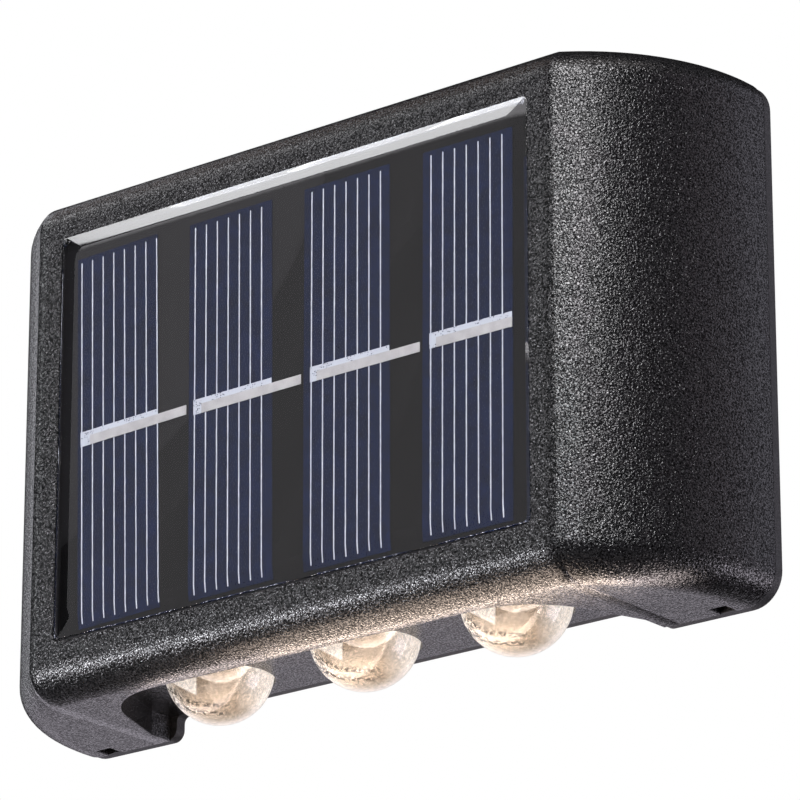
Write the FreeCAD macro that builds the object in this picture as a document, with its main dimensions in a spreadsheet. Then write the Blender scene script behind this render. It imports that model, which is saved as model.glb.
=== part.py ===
"""Solar fence light that shines up and down: a moulded shell with a panel in its front.

Millimetres. The origin is the centre of the back face, which lies on the wall at Y = 0.
The front looks along -Y, X is the width and +Z is up. Sketches on the XZ plane grow along -Y.
"""
import FreeCAD, Part
import math
import os
import re
import Sketcher
from FreeCAD import Placement, Rotation, Vector

# Driving dimensions: name, value, what it is.
SIZES = (
    ("width", 115.0, "shell, side to side"),
    ("height", 70.0, "shell, bottom rim to top rim"),
    ("depth", 27.0, "wall face to front face"),
    ("cover_plate", 1.6, "thickness of the back cover"),
    ("crease_angle", 30.5, "turn from the flat front to each rounded end, degrees"),
    ("rim_radius", 4.5, "rounding of the top and bottom rims"),
    ("wall", 2.0, "shell walls at the ends and over the wells"),
    ("rim_wall", 2.6, "shell walls under the rounded rims"),
    ("panel_side", 3.94, "flat front left at each side of the panel recess"),
    ("panel_low", 2.75, "flat front left below the recess"),
    ("panel_high", 2.2, "flat front left above the recess"),
    ("panel_corner", 1.0, "corner radius of the recess"),
    ("panel_gap", 0.3, "gap round the panel in its recess"),
    ("recess_depth", 2.2, "front face to the recess floor"),
    ("recess_floor", 1.6, "thickness of the recess floor"),
    ("rim_front", 5.3, "front face to the front edge of a well"),
    ("well_depth", 3.3, "rim to the ceiling of a well"),
    ("well_inset", 16.95, "side of the shell to the side of a well, at the wall"),
    ("well_corner", 12.0, "corner radius of a well"),
    ("well_splay", 20.0, "slant of the well's sides, degrees"),
    ("well_straight", 5.5, "straight part of the well's sides at the wall"),
    ("notch_width", 2.5, "pry notches in the lower rim"),
    ("notch_depth", 2.6, "pry notches, from the parting line forward"),
    ("notch_height", 1.5, "pry notches, up into the rim"),
    ("notch_inset", 7.1, "side of the shell to the centre of a notch"),
    ("lens_radius", 7.2, "dome of each lens"),
    ("lens_gap", 0.15, "gap round a lens in its hole"),
    ("lens_pitch", 24.4, "from one lens to the next"),
    ("lens_back", 10.6, "wall face to the lens axis"),
    ("lens_set", 1.3, "centre of the dome inside the well's ceiling"),
    ("flange_lip", 0.7, "flange that holds a lens inside, beyond its dome"),
    ("flange_thick", 1.8, "thickness of that flange"),
    ("hollow_radius", 3.2, "hollow of a lens over its diode"),
    ("hollow_depth", 3.9, "depth of that hollow"),
    ("seal_thick", 0.5, "washer under a lens flange"),
    ("led_board_length", 70.0, "light board, side to side"),
    ("led_board_width", 13.6, "light board, front to rear"),
    ("led_board_thick", 1.2, "light board"),
    ("led_length", 3.5, "diode body"),
    ("led_width", 2.8, "diode body"),
    ("led_height", 0.7, "diode body"),
    ("post_radius", 2.2, "posts that carry the boards"),
    ("post_root", 0.8, "posts rooted into the wall that they stand on"),
    ("bore_end", 1.0, "bore beyond the tip of its screw"),
    ("bore_gap", 0.05, "gap round a screw in its bore"),
    ("small_shank", 1.0, "shank radius of the board screws"),
    ("small_head", 1.9, "head radius of the board screws"),
    ("small_head_height", 1.2, "head of the board screws"),
    ("small_grip", 3.0, "thread of a board screw in its post"),
    ("pass_gap", 0.2, "gap round a shank in the piece that it holds"),
    ("boss_radius", 3.0, "bosses for the cover screws"),
    ("boss_side", 9.5, "side of the shell to the cover screws"),
    ("boss_end", 9.0, "rim of the shell to the cover screws"),
    ("screw_shank", 1.45, "shank radius of the cover screws"),
    ("screw_head", 2.7, "head radius of the cover screws"),
    ("screw_head_height", 1.7, "head of the cover screws"),
    ("screw_grip", 7.0, "thread of a cover screw in its boss"),
    ("head_sink", 0.3, "cover screw head below the wall face"),
    ("pad_radius", 4.4, "thick places of the cover under the screws"),
    ("pad_thick", 1.6, "extra thickness there"),
    ("cover_inset", 0.15, "step from the shell in to the cover's edge"),
    ("cover_lobe", 1.0, "cover beyond the side of a well"),
    ("lobe_round", 1.5, "rounding of that lobe's corner"),
    ("lobe_hollow", 1.0, "rounding between that lobe and the well's ceiling"),
    ("fit_gap", 0.05, "gap between pieces that are fitted together"),
    ("seal_width", 0.7, "gasket band, wall to lip"),
    ("seal_depth", 0.8, "gasket band, front to rear"),
    ("lip_wall", 1.2, "locating lip of the cover"),
    ("lip_depth", 0.8, "height of that lip"),
    ("keyhole_spacing", 72.0, "between the two hanging keyholes"),
    ("keyhole_up", 6.0, "keyholes above the middle"),
    ("keyhole_radius", 4.2, "entry of a keyhole"),
    ("keyslot_radius", 2.2, "half the width of its slot"),
    ("keyslot_rise", 7.0, "from the entry's centre to the slot's end"),
    ("keybox_room", 3.6, "room for the screw head behind the cover"),
    ("keybox_side", 1.0, "room beside the keyhole in that box"),
    ("keybox_wall", 1.2, "walls of that box"),
    ("button_radius", 4.0, "power button"),
    ("button_gap", 0.25, "gap round the button in its sleeve"),
    ("button_up", 1.0, "power button above the middle of its board"),
    ("button_sink", 0.5, "button below the wall face"),
    ("button_edge", 0.6, "rounding of the button's edge"),
    ("sleeve_wall", 1.6, "sleeve round the button"),
    ("sleeve_length", 3.4, "sleeve beyond the cover plate"),
    ("collar_radius", 5.0, "collar that keeps the button in"),
    ("collar_thick", 1.0, "thickness of that collar"),
    ("collar_gap", 0.15, "collar to the end of the sleeve"),
    ("button_travel", 1.2, "how far the button is pressed"),
    ("switch_size", 8.4, "side of the switch"),
    ("switch_height", 6.0, "switch above its board"),
    ("plunger_side", 3.0, "side of the switch's plunger"),
    ("plunger_gap", 0.3, "gap round the plunger"),
    ("plunger_in", 1.8, "plunger inside the switch at rest"),
    ("plunger_spare", 1.05, "collar to the switch while pressed"),
    ("board_width", 48.0, "control board, side to side"),
    ("board_thick", 1.6, "control board"),
    ("board_gap", 1.0, "control board to the screws of the lower light board"),
    ("board_inset", 4.0, "board edge to the screw centres"),
    ("chip_length", 5.0, "driver chip"),
    ("chip_width", 4.0, "driver chip"),
    ("chip_height", 1.5, "driver chip"),
    ("coil_radius", 3.5, "storage coil"),
    ("coil_height", 4.0, "storage coil"),
    ("plug_length", 6.0, "lead plug"),
    ("plug_width", 4.5, "lead plug"),
    ("plug_height", 5.0, "lead plug"),
    ("plug_inset", 1.0, "edge of the board to a plug"),
    ("plug_apart", 6.0, "between the two plugs of the light boards"),
    ("cell_board", 1.0, "board under the solar cells"),
    ("glue_thick", 0.3, "adhesive under that board"),
    ("glue_width", 6.0, "width of the adhesive frame"),
    ("resin_thick", 1.5, "resin over the board"),
    ("resin_border", 4.4, "border where the resin falls to its edge"),
    ("resin_fall", 0.7, "how far it falls there"),
    ("strip_thick", 0.25, "solar cell strip"),
    ("strip_gap", 5.26, "from one strip to the next"),
    ("strip_left", 3.34, "board left of the first strip"),
    ("strip_right", 2.36, "board right of the last strip"),
    ("strip_low", 0.95, "board below the strips"),
    ("strip_high", 2.9, "board above the strips"),
    ("turn_first", 1.5, "turn of the first strip, degrees, as they lie in the resin"),
    ("turn_second", 0.6, "turn of the second strip"),
    ("turn_third", 0.1, "turn of the third strip"),
    ("turn_fourth", -0.3, "turn of the fourth strip"),
    ("ribbon_width", 1.3, "ribbon between the cells"),
    ("ribbon_thick", 0.15, "ribbon between the cells"),
    ("ribbon_drop", 0.2, "ribbon below the middle of the strips"),
    ("ribbon_start", 2.2, "cell edge to the start of its ribbon"),
    ("ribbon_short", 0.4, "end of a ribbon to the next cell"),
    ("battery_length", 44.5, "storage cell, with its button"),
    ("battery_radius", 5.25, "storage cell"),
    ("battery_nub", 0.8, "button of the storage cell"),
    ("nub_radius", 1.9, "button of the storage cell"),
    ("battery_gap", 6.3, "tray to the screws of the upper light board"),
    ("holder_floor", 1.2, "tray under the storage cell"),
    ("holder_wall", 1.5, "ends of the tray"),
    ("holder_side", 1.4, "sides of the tray"),
    ("holder_rise", 8.3, "height of the tray"),
    ("contact_thick", 0.3, "contact springs"),
    ("contact_side", 8.0, "contact springs"),
    ("contact_sink", 2.0, "contact springs below the middle of the cell"),
    ("tab_offset", 2.0, "solder point beside the middle of the cell"),
    ("lead_radius", 0.6, "insulated lead wire"),
    ("lead_bend", 2.5, "bend radius of a lead"),
    ("lead_pitch", 1.6, "between the two leads of a pair"),
    ("lead_out", 6.0, "panel leads off the side of their plug"),
    ("lead_side", 3.0, "leads of the storage cell off its tray and their plug"),
    ("lead_lift", 2.6, "those leads above the rim of the tray"),
    ("lead_over", 4.0, "leads to the upper light board above the control board"),
    ("lead_room", 3.3, "tray to the control board, where a lead runs"),
    ("lead_hole", 2.0, "radius of the lead hole in the recess floor"),
)
NAMES = {name for name, value, meaning in SIZES}

# Sizes that follow from the driving ones, as expressions.
SHELL_DEPTH = "(depth - cover_plate)"
SIDE_R = "((depth - cover_plate) / cos(crease_angle))"
SIDE_X = f"(width / 2 - {SIDE_R})"
FLAT_HALF = f"({SIDE_X} + {SIDE_R} * sin(crease_angle))"
FRONT_WALL = "(recess_depth + recess_floor)"
INNER_R = f"({SIDE_R} - wall)"
INNER_FRONT = f"({FRONT_WALL} - depth)"
INNER_X = f"({SIDE_X} + sqrt({INNER_R}^2 - ({SHELL_DEPTH} - {FRONT_WALL})^2))"
PANEL_HALF = f"({FLAT_HALF} - panel_side)"
PANEL_BOTTOM = "(rim_radius + panel_low - height / 2)"
PANEL_TOP = "(height / 2 - rim_radius - panel_high)"
BOSS_X = "(width / 2 - boss_side)"
BOSS_Z = "(height / 2 - boss_end)"
BOSS_LENGTH = f"(sqrt(({SIDE_R} - wall / 2)^2 - ({BOSS_X} + boss_radius - {SIDE_X})^2) - pad_thick)"
CEILING = "(height / 2 - well_depth)"
WELL_HALF = "(width / 2 - well_inset)"
CAVITY_TOP = "(height / 2 - well_depth - wall)"
WELL_SLANT = (
    "((depth - rim_front - well_straight - well_corner * (1 - sin(well_splay))) / cos(well_splay))"
)
WELL_X = f"({WELL_HALF} - {WELL_SLANT} * sin(well_splay))"
WELL_Y = f"(-well_straight - {WELL_SLANT} * cos(well_splay))"
LED_BOARD_Z = f"({CAVITY_TOP} - seal_thick - flange_thick)"
GLUE_Y = "(recess_depth - depth)"
PANEL_Y = "(recess_depth - depth - glue_thick)"
CELL_Y = "(recess_depth - depth - glue_thick - cell_board)"
FLANGE = "(lens_radius + flange_lip)"
PAD_Y = "(-cover_plate - pad_thick)"
COLLAR_Y = "(-cover_plate - sleeve_length - collar_gap)"
PLUNGER_OUT = "(button_travel + plunger_spare)"
SWITCH_REAR = f"({COLLAR_Y} - collar_thick - {PLUNGER_OUT})"
CONTROL_REAR = f"({SWITCH_REAR} - switch_height)"
CONTROL_Y = f"({CONTROL_REAR} - board_thick)"
BATTERY_Y = f"({INNER_FRONT} + holder_floor + fit_gap + battery_radius)"
HOLDER_HALF = "(battery_radius + fit_gap + holder_side)"
LIGHT_SCREW_Z = f"({LED_BOARD_Z} - led_board_thick - small_head_height)"
BATTERY_Z = f"({LIGHT_SCREW_Z} - battery_gap - {HOLDER_HALF})"
BOARD_BOTTOM = f"(board_gap - {LIGHT_SCREW_Z})"
BOARD_TOP = f"({BATTERY_Z} - {HOLDER_HALF} - lead_room)"
BOARD_MIDDLE = f"(({BOARD_BOTTOM} + {BOARD_TOP}) / 2)"
BOARD_HEIGHT = f"({BOARD_TOP} - {BOARD_BOTTOM})"
BUTTON_Z = f"({BOARD_MIDDLE} + button_up)"
STRIP_TURNS = ("turn_first", "turn_second", "turn_third", "turn_fourth")
STRIPS = range(len(STRIP_TURNS))
STRIP_WIDTH = (
    f"((2 * ({PANEL_HALF} - panel_gap) - strip_left - strip_right - {STRIPS[-1]} * strip_gap)"
    f" / {len(STRIPS)})"
)
STRIP_BOTTOM = f"({PANEL_BOTTOM} + panel_gap + strip_low)"
STRIP_TOP = f"({PANEL_TOP} - panel_gap - strip_high)"
STRIP_MIDDLE = f"(({STRIP_BOTTOM} + {STRIP_TOP}) / 2)"
STRIP_HEIGHT = f"({STRIP_TOP} - {STRIP_BOTTOM})"

# Low corners of the lead plugs on the control board, as X and Z.
PANEL_PLUG = ("(plug_inset - board_width / 2)", f"({BOARD_MIDDLE} - plug_width / 2)")
BATTERY_PLUG = ("(board_width / 2 - plug_inset - plug_length)", PANEL_PLUG[1])
LOWER_PLUG = ("(plug_apart / 2)", f"({BOARD_BOTTOM} + plug_inset)")
UPPER_PLUG = ("(-plug_apart / 2 - plug_length)", LOWER_PLUG[1])

# Most of a straight run of lead that the bend at one of its ends may take.
BEND_SHARE = 0.45

doc = FreeCAD.newDocument("FenceLight")
sheet = doc.addObject("Spreadsheet::Sheet", "Sizes")
for row, (name, value, meaning) in enumerate(SIZES, start=1):
    sheet.set(f"A{row}", str(value))
    sheet.setAlias(f"A{row}", name)
    sheet.set(f"B{row}", meaning)
doc.recompute()

pieces = []


def ref(text):
    """Expression with each size's name turned into a reference to its cell."""
    return re.sub(r"[a-z_]+", lambda word: f"Sizes.{word[0]}" if word[0] in NAMES else word[0], text)


def value_of(text):
    """Number that an expression of sizes stands for."""
    return float(sheet.evalExpression(ref(text)))


def bind(target, path, text):
    """Tie a property of an object to an expression of sizes."""
    target.setExpression(path, ref(text))


def piece(target, label):
    """Name an object as one piece of the light."""
    target.Label = label
    pieces.append(target)
    return target


def new_body(label):
    return piece(doc.addObject("PartDesign::Body", label), label)


def sketch_on(body, plane, offset="0"):
    """Sketch on one of the body's own origin planes, moved along its normal."""
    sketch = body.newObject("Sketcher::SketchObject", "Sketch")
    origin_plane = [f for f in body.Origin.OriginFeatures if f.Role == plane + "_Plane"][0]
    sketch.AttachmentSupport = [(origin_plane, "")]
    sketch.MapMode = "FlatFace"
    bind(sketch, ".AttachmentOffset.Base.z", offset)
    return sketch


def hold(sketch, kind, geometry, end, text):
    """Fix one coordinate of a point, or an arc's radius, to an expression."""
    if kind == "Radius":
        rule = Sketcher.Constraint(kind, geometry, value_of(text))
    else:
        rule = Sketcher.Constraint(kind, -1, 1, geometry, end, value_of(text))
    index = sketch.addConstraint(rule)
    sketch.renameConstraint(index, f"size{index}")
    bind(sketch, f"Constraints.size{index}", text)


def arc_between(start, end, radius, turn):
    """Minor arc from start to end that turns left or right."""
    middle = (start + end) / 2
    chord = end - start
    reach = max(radius**2 - (chord.Length / 2) ** 2, 0.0) ** 0.5
    side = Vector(-chord.y, chord.x, 0).normalize()
    centre = middle + side * (reach if turn == "left" else -reach)
    first, last = (start, end) if turn == "left" else (end, start)
    circle = Part.Circle(centre, Vector(0, 0, 1), radius)
    return Part.ArcOfCircle(circle, circle.parameter(first), circle.parameter(last))


def outline(sketch, corners):
    """Closed outline. A corner is (x, y), or (x, y, radius) where an arc that turns left ends,
    or (x, y, radius, "right") where one that turns right ends."""
    points = [Vector(value_of(corner[0]), value_of(corner[1]), 0) for corner in corners]
    count = len(corners)
    ends = []
    for i in range(count):
        arriving = corners[(i + 1) % count]
        start, end = points[i], points[(i + 1) % count]
        if len(arriving) == 2:
            ends.append((sketch.addGeometry(Part.LineSegment(start, end), False), 1, 2))
            continue
        turn = arriving[3] if len(arriving) == 4 else "left"
        arc = arc_between(start, end, value_of(arriving[2]), turn)
        tips = (1, 2) if turn == "left" else (2, 1)
        ends.append((sketch.addGeometry(arc, False), *tips))
    for i, (geometry, first, last) in enumerate(ends):
        following = ends[(i + 1) % count]
        sketch.addConstraint(Sketcher.Constraint("Coincident", geometry, last, *following[:2]))
        hold(sketch, "DistanceX", geometry, first, corners[i][0])
        hold(sketch, "DistanceY", geometry, first, corners[i][1])
        arriving = corners[(i + 1) % count]
        if len(arriving) > 2:
            hold(sketch, "Radius", geometry, 0, arriving[2])
    return sketch


def circles(sketch, radius, places):
    for x, y in places:
        centre = Vector(value_of(x), value_of(y), 0)
        geometry = sketch.addGeometry(Part.Circle(centre, Vector(0, 0, 1), value_of(radius)), False)
        hold(sketch, "DistanceX", geometry, 3, x)
        hold(sketch, "DistanceY", geometry, 3, y)
        hold(sketch, "Radius", geometry, 0, radius)
    return sketch


def rectangle(x, y, width, height):
    """Corners of a rectangle round a centre."""
    left, right = f"{x} - {width} / 2", f"{x} + {width} / 2"
    low, high = f"{y} - {height} / 2", f"{y} + {height} / 2"
    return [(left, low), (right, low), (right, high), (left, high)]


def both_sides(right):
    """Whole outline from its right half, listed anticlockwise."""
    left = []
    for i in reversed(range(len(right))):
        arc = right[i + 1][2:] if i + 1 < len(right) else ()
        left.append((f"-({right[i][0]})", right[i][1], *arc))
    return right + left


def four_ways(x, y):
    return [(f"{side} * {x}", f"{end} * {y}") for side in (-1, 1) for end in (-1, 1)]


def grow(body, sketch, length, midplane=False):
    """Add material along the sketch's normal, or half of it each way."""
    pad = body.newObject("PartDesign::Pad", "Pad")
    pad.Profile = sketch
    pad.Midplane = midplane
    bind(pad, "Length", length)
    doc.recompute()
    return pad


def cut(body, sketch, length, midplane=False):
    """Take material away along the sketch's normal, or half of it each way."""
    before = body.Shape.Volume
    pocket = body.newObject("PartDesign::Pocket", "Pocket")
    pocket.Profile = sketch
    pocket.Midplane = midplane
    pocket.Reversed = not midplane
    bind(pocket, "Length", length)
    doc.recompute()
    if body.Shape.Volume > before - 0.01:
        raise ValueError(f"a cut in {body.Label} takes nothing away")
    return pocket


def round_edges(body, feature, radius, wanted):
    """Fillet the edges of a feature that the test wanted accepts."""
    names = [f"Edge{i}" for i, edge in enumerate(feature.Shape.Edges, start=1) if wanted(edge)]
    fillet = body.newObject("PartDesign::Fillet", "Fillet")
    fillet.Base = (feature, names)
    bind(fillet, "Radius", radius)
    doc.recompute()
    return fillet


def place(target, x, y, z, turn=None):
    target.Placement = Placement(Vector(0, 0, 0), turn or Rotation())
    for axis, text in zip("xyz", (x, y, z)):
        bind(target, f".Placement.Base.{axis}", text)
    return target


def box(low, size):
    """Block from its lowest corner and its size."""
    block = doc.addObject("Part::Box", "Block")
    for name, text in zip(("Length", "Width", "Height"), size):
        bind(block, name, text)
    return place(block, *low)


def rod(start, radius, length, along):
    """Cylinder from the centre of its first end, along Z, -Z, -Y or X."""
    turns = {
        "z": Rotation(),
        "-z": Rotation(Vector(1, 0, 0), 180),
        "-y": Rotation(Vector(1, 0, 0), 90),
        "x": Rotation(Vector(0, 1, 0), 90),
    }
    cylinder = doc.addObject("Part::Cylinder", "Rod")
    bind(cylinder, "Radius", radius)
    bind(cylinder, "Height", length)
    return place(cylinder, *start, turns[along])


def together(shapes, kind="Part::MultiFuse"):
    group = doc.addObject(kind, "Group")
    if kind == "Part::Compound":
        group.Links = shapes
    else:
        group.Shapes = shapes
    return group


def less(base, tool):
    difference = doc.addObject("Part::Cut", "Cut")
    difference.Base = base
    difference.Tool = tool
    return difference


def screws(label, places, head, shank, along):
    """Group of like screws. head and shank are (radius, length); a place is under the head."""
    solids = []
    back = {"-y": (0, 1, 0), "z": (0, 0, -1), "-z": (0, 0, 1)}[along]
    for x, y, z in places:
        start = [f"{text} + {step} * {head[1]}" for text, step in zip((x, y, z), back)]
        solids.append(together([rod(start, *head, along), rod((x, y, z), *shank, along)]))
    return piece(together(solids, "Part::Compound"), label)


def level(edge, axis, text):
    """Whether all of an edge lies in one plane across an axis."""
    bounds = edge.BoundBox
    low, high = getattr(bounds, axis + "Min"), getattr(bounds, axis + "Max")
    return abs(low - value_of(text)) < 0.01 and abs(high - value_of(text)) < 0.01


def shell_plan():
    """Rounded ends as seen from above, with the front still ahead of its place."""
    return both_sides([(SIDE_X, f"(-cover_plate - {SIDE_R})"), ("width / 2", "-cover_plate", SIDE_R)])


def ahead_of_front():
    """All that lies ahead of the flat front and its rounded rims, as seen from the side."""
    rim, end, beyond = "(rim_radius - depth)", "(height / 2 - rim_radius)", "-2 * depth"
    return [
        (beyond, "-height"),
        (rim, "-height"),
        (rim, "-height / 2"),
        ("-depth", f"-{end}", "rim_radius", "right"),
        ("-depth", end),
        (rim, "height / 2", "rim_radius", "right"),
        (rim, "height"),
        (beyond, "height"),
    ]


def well_plan():
    """Well as seen from below: straight front edge, wide corners and splayed sides."""
    return both_sides([
        (f"{WELL_X} - well_corner * cos(well_splay)", "rim_front - depth"),
        (WELL_X, WELL_Y, "well_corner"),
        (WELL_HALF, "-well_straight"),
        (WELL_HALF, "0"),
    ])


def end_cavity(side):
    """Inside of one end of the shell, beside the wells."""
    corners = [
        (f"{WELL_HALF} + wall", INNER_FRONT),
        (INNER_X, INNER_FRONT),
        ("width / 2 - wall", "-cover_plate", INNER_R),
        (f"{WELL_HALF} + wall", "-cover_plate"),
    ]
    if side == "right":
        return corners
    return [(f"-({x})", y, *arc) for x, y, *arc in reversed_arcs(corners)]


def reversed_arcs(corners):
    """The same closed outline, listed the other way round."""
    count = len(corners)
    return [corners[i][:2] + corners[(i + 1) % count][2:] for i in reversed(range(count))]


def top_and_bottom(upper):
    """Right half of an outline from its upper quarter, listed from the side up to the middle."""
    lower = []
    for i in reversed(range(len(upper))):
        arc = upper[i + 1][2:] if i + 1 < len(upper) else ()
        lower.append((upper[i][0], f"-({upper[i][1]})", *arc))
    return lower + upper


def inner_ring(inset):
    """Outline inside the shell's rear opening, set in from its walls."""
    reach, well = f"(width / 2 - wall - ({inset}))", f"({WELL_HALF} + wall + {inset})"
    rim, ceiling = f"(height / 2 - rim_wall - ({inset}))", f"({CAVITY_TOP} - ({inset}))"
    return both_sides(top_and_bottom([(reach, rim), (well, rim), (well, ceiling)]))


def cover_outline():
    """Edge of the cover: rounded corners, and a lobe beside each end of the wells."""
    reach, corner = "(width / 2 - cover_inset)", "(rim_radius - cover_inset)"
    rim, ceiling = "(height / 2 - cover_inset)", f"({CEILING} - cover_inset)"
    well = f"({WELL_HALF} - cover_lobe)"
    return both_sides(top_and_bottom([
        (reach, f"{rim} - {corner}"),
        (f"{reach} - {corner}", rim, corner),
        (f"{well} + lobe_round", rim),
        (well, f"{rim} - lobe_round", "lobe_round"),
        (well, f"{ceiling} + lobe_hollow"),
        (f"{well} - lobe_hollow", ceiling, "lobe_hollow", "right"),
    ]))


def board_screw_places():
    side, end = "(board_width / 2 - board_inset)", f"({BOARD_HEIGHT} / 2 - board_inset)"
    return [(x, f"{BOARD_MIDDLE} + {z}") for x, z in four_ways(side, end)]


def front_housing():
    """Shell: plan padded to its height, rims rounded, front cut flat, then hollowed from the rear."""
    body = new_body("front_housing")
    blank = grow(body, outline(sketch_on(body, "XY"), shell_plan()), "height", midplane=True)
    rims = ("height / 2", "-height / 2")
    round_edges(body, blank, "rim_radius", lambda edge: not level(edge, "Y", "-cover_plate")
                and any(level(edge, "Z", rim) for rim in rims))
    cut(body, outline(sketch_on(body, "YZ"), ahead_of_front()), "width", midplane=True)

    core = both_sides([(INNER_X, INNER_FRONT), ("width / 2 - wall", "-cover_plate", INNER_R)])
    cut(body, outline(sketch_on(body, "XY"), core), f"2 * {CAVITY_TOP}", midplane=True)
    ends = sketch_on(body, "XY")
    for side in ("left", "right"):
        outline(ends, end_cavity(side))
    cut(body, ends, "height - 2 * rim_wall", midplane=True)

    cut(body, outline(sketch_on(body, "XY", "-height / 2"), well_plan()), "well_depth")
    cut(body, outline(sketch_on(body, "XY", CEILING), well_plan()), "well_depth")
    recess = sketch_on(body, "XZ", "depth - recess_depth")
    cut(body, outline(recess, panel_outline("0")), "recess_depth")
    lens_places = [(f"{i} * lens_pitch", "-lens_back") for i in (-1, 0, 1)]
    holes = circles(sketch_on(body, "XY"), "lens_radius + lens_gap", lens_places)
    cut(body, holes, "height", midplane=True)
    notches = sketch_on(body, "XY", "-height / 2")
    for sign in (-1, 1):
        outline(notches, rectangle(f"{sign} * (width / 2 - notch_inset)",
                                   "-cover_plate - notch_depth / 2", "notch_width", "notch_depth"))
    cut(body, notches, "notch_height")

    corners = four_ways(BOSS_X, BOSS_Z)
    grow(body, circles(sketch_on(body, "XZ", f"-{PAD_Y}"), "boss_radius", corners), BOSS_LENGTH)
    bores = circles(sketch_on(body, "XZ", f"-{PAD_Y}"), "screw_shank + bore_gap", corners)
    cut(body, bores, "screw_grip + bore_end")
    posts = circles(sketch_on(body, "XZ", f"-{CONTROL_Y}"), "post_radius", board_screw_places())
    grow(body, posts, f"{CONTROL_Y} - {INNER_FRONT} + post_root")
    bores = circles(sketch_on(body, "XZ", f"-{CONTROL_Y}"), "small_shank + bore_gap",
                    board_screw_places())
    cut(body, bores, "small_grip + bore_end")
    lens_posts(body)
    lead_hole = circles(sketch_on(body, "XZ", f"-{INNER_FRONT}"), "lead_hole",
                        [(f"{PANEL_PLUG[0]} - lead_out", f"{PANEL_PLUG[1]} + plug_width / 2")])
    cut(body, lead_hole, "recess_floor")


def lens_posts(body):
    """Posts between the lenses that the light boards are screwed to, below and above."""
    places = [(f"{sign} * lens_pitch / 2", "-lens_back") for sign in (-1, 1)]
    height = f"{CAVITY_TOP} - {LED_BOARD_Z} + post_root"
    bore = "(small_grip + bore_gap)"
    below = sketch_on(body, "XY", f"-{CAVITY_TOP} - post_root")
    grow(body, circles(below, "post_radius", places), height)
    grow(body, circles(sketch_on(body, "XY", LED_BOARD_Z), "post_radius", places), height)
    for start in (f"-{LED_BOARD_Z} - {bore}", LED_BOARD_Z):
        cut(body, circles(sketch_on(body, "XY", start), "small_shank + bore_gap", places), bore)


def panel_outline(inset):
    """Rounded rectangle of the panel recess, set in by an amount."""
    half, corner = f"({PANEL_HALF} - {inset})", f"(panel_corner - {inset})"
    low, high = f"({PANEL_BOTTOM} + {inset})", f"({PANEL_TOP} - {inset})"
    return both_sides([
        (f"{half} - {corner}", low),
        (half, f"{low} + {corner}", corner),
        (half, f"{high} - {corner}"),
        (f"{half} - {corner}", high, corner),
    ])


def back_cover():
    """Cover plate with its lip, hanging keyholes, screw places and the button's sleeve."""
    body = new_body("back_cover")
    grow(body, outline(sketch_on(body, "XZ"), cover_outline()), "cover_plate")
    lip = outline(sketch_on(body, "XZ", "cover_plate"), inner_ring("seal_width + 2 * fit_gap"))
    outline(lip, inner_ring("seal_width + 2 * fit_gap + lip_wall"))
    grow(body, lip, "lip_depth")

    corners = four_ways(BOSS_X, BOSS_Z)
    grow(body, circles(sketch_on(body, "XZ", "cover_plate"), "pad_radius", corners),
         "pad_thick - fit_gap")
    holes = circles(sketch_on(body, "XZ"), "screw_shank + pass_gap", corners)
    cut(body, holes, "cover_plate + pad_thick")
    heads = circles(sketch_on(body, "XZ"), "screw_head + pass_gap", corners)
    cut(body, heads, "head_sink + screw_head_height")

    centre = [("0", BUTTON_Z)]
    sleeve = circles(sketch_on(body, "XZ", "cover_plate"), "button_radius + button_gap + sleeve_wall",
                     centre)
    grow(body, sleeve, "sleeve_length")
    bore = circles(sketch_on(body, "XZ"), "button_radius + button_gap", centre)
    cut(body, bore, "cover_plate + sleeve_length")
    keyholes(body)


def keyholes(body):
    """Two keyholes to hang the light on screws, each with a closed box behind it."""
    boxes, rooms, holes = (sketch_on(body, "XZ", start) for start in ("cover_plate", "cover_plate", "0"))
    for sign in (-1, 1):
        x, z = f"{sign} * keyhole_spacing / 2", "(keyhole_up + keyslot_rise / 2)"
        width = "2 * (keyhole_radius + keybox_side)"
        height = f"({width} + keyslot_rise)"
        outline(boxes, rectangle(x, z, f"({width} + 2 * keybox_wall)", f"({height} + 2 * keybox_wall)"))
        outline(rooms, rectangle(x, z, f"({width})", height))
        outline(holes, keyhole_outline(x))
    grow(body, boxes, "keybox_room + keybox_wall")
    cut(body, rooms, "keybox_room")
    cut(body, holes, "cover_plate")


def keyhole_outline(x):
    """Round entry with a narrower slot that rises from it."""
    entry_top = "(keyhole_up + sqrt(keyhole_radius^2 - keyslot_radius^2))"
    slot_top = "(keyhole_up + keyslot_rise)"
    return [
        (f"{x} - keyslot_radius", entry_top),
        (f"{x} - keyhole_radius", "keyhole_up", "keyhole_radius"),
        (x, "keyhole_up - keyhole_radius", "keyhole_radius"),
        (f"{x} + keyhole_radius", "keyhole_up", "keyhole_radius"),
        (f"{x} + keyslot_radius", entry_top, "keyhole_radius"),
        (f"{x} + keyslot_radius", slot_top),
        (x, f"{slot_top} + keyslot_radius", "keyslot_radius"),
        (f"{x} - keyslot_radius", slot_top, "keyslot_radius"),
    ]


def ring(label, start, length, outer, inner):
    """Band between two rear outlines, from a depth behind the wall face."""
    body = new_body(label)
    band = outline(sketch_on(body, "XZ", start), inner_ring(outer))
    outline(band, inner_ring(inner))
    grow(body, band, length)


def slab(label, start, thickness, *outlines):
    """Flat sheet seen from the front, with its rear face at a depth."""
    body = new_body(label)
    flat = sketch_on(body, "XZ", start)
    for corners in outlines:
        outline(flat, corners)
    grow(body, flat, thickness)
    return body


def strip_side(i):
    """Left edge of strip i."""
    return f"(panel_gap + strip_left - {PANEL_HALF} + {i} * ({STRIP_WIDTH} + strip_gap))"


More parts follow.
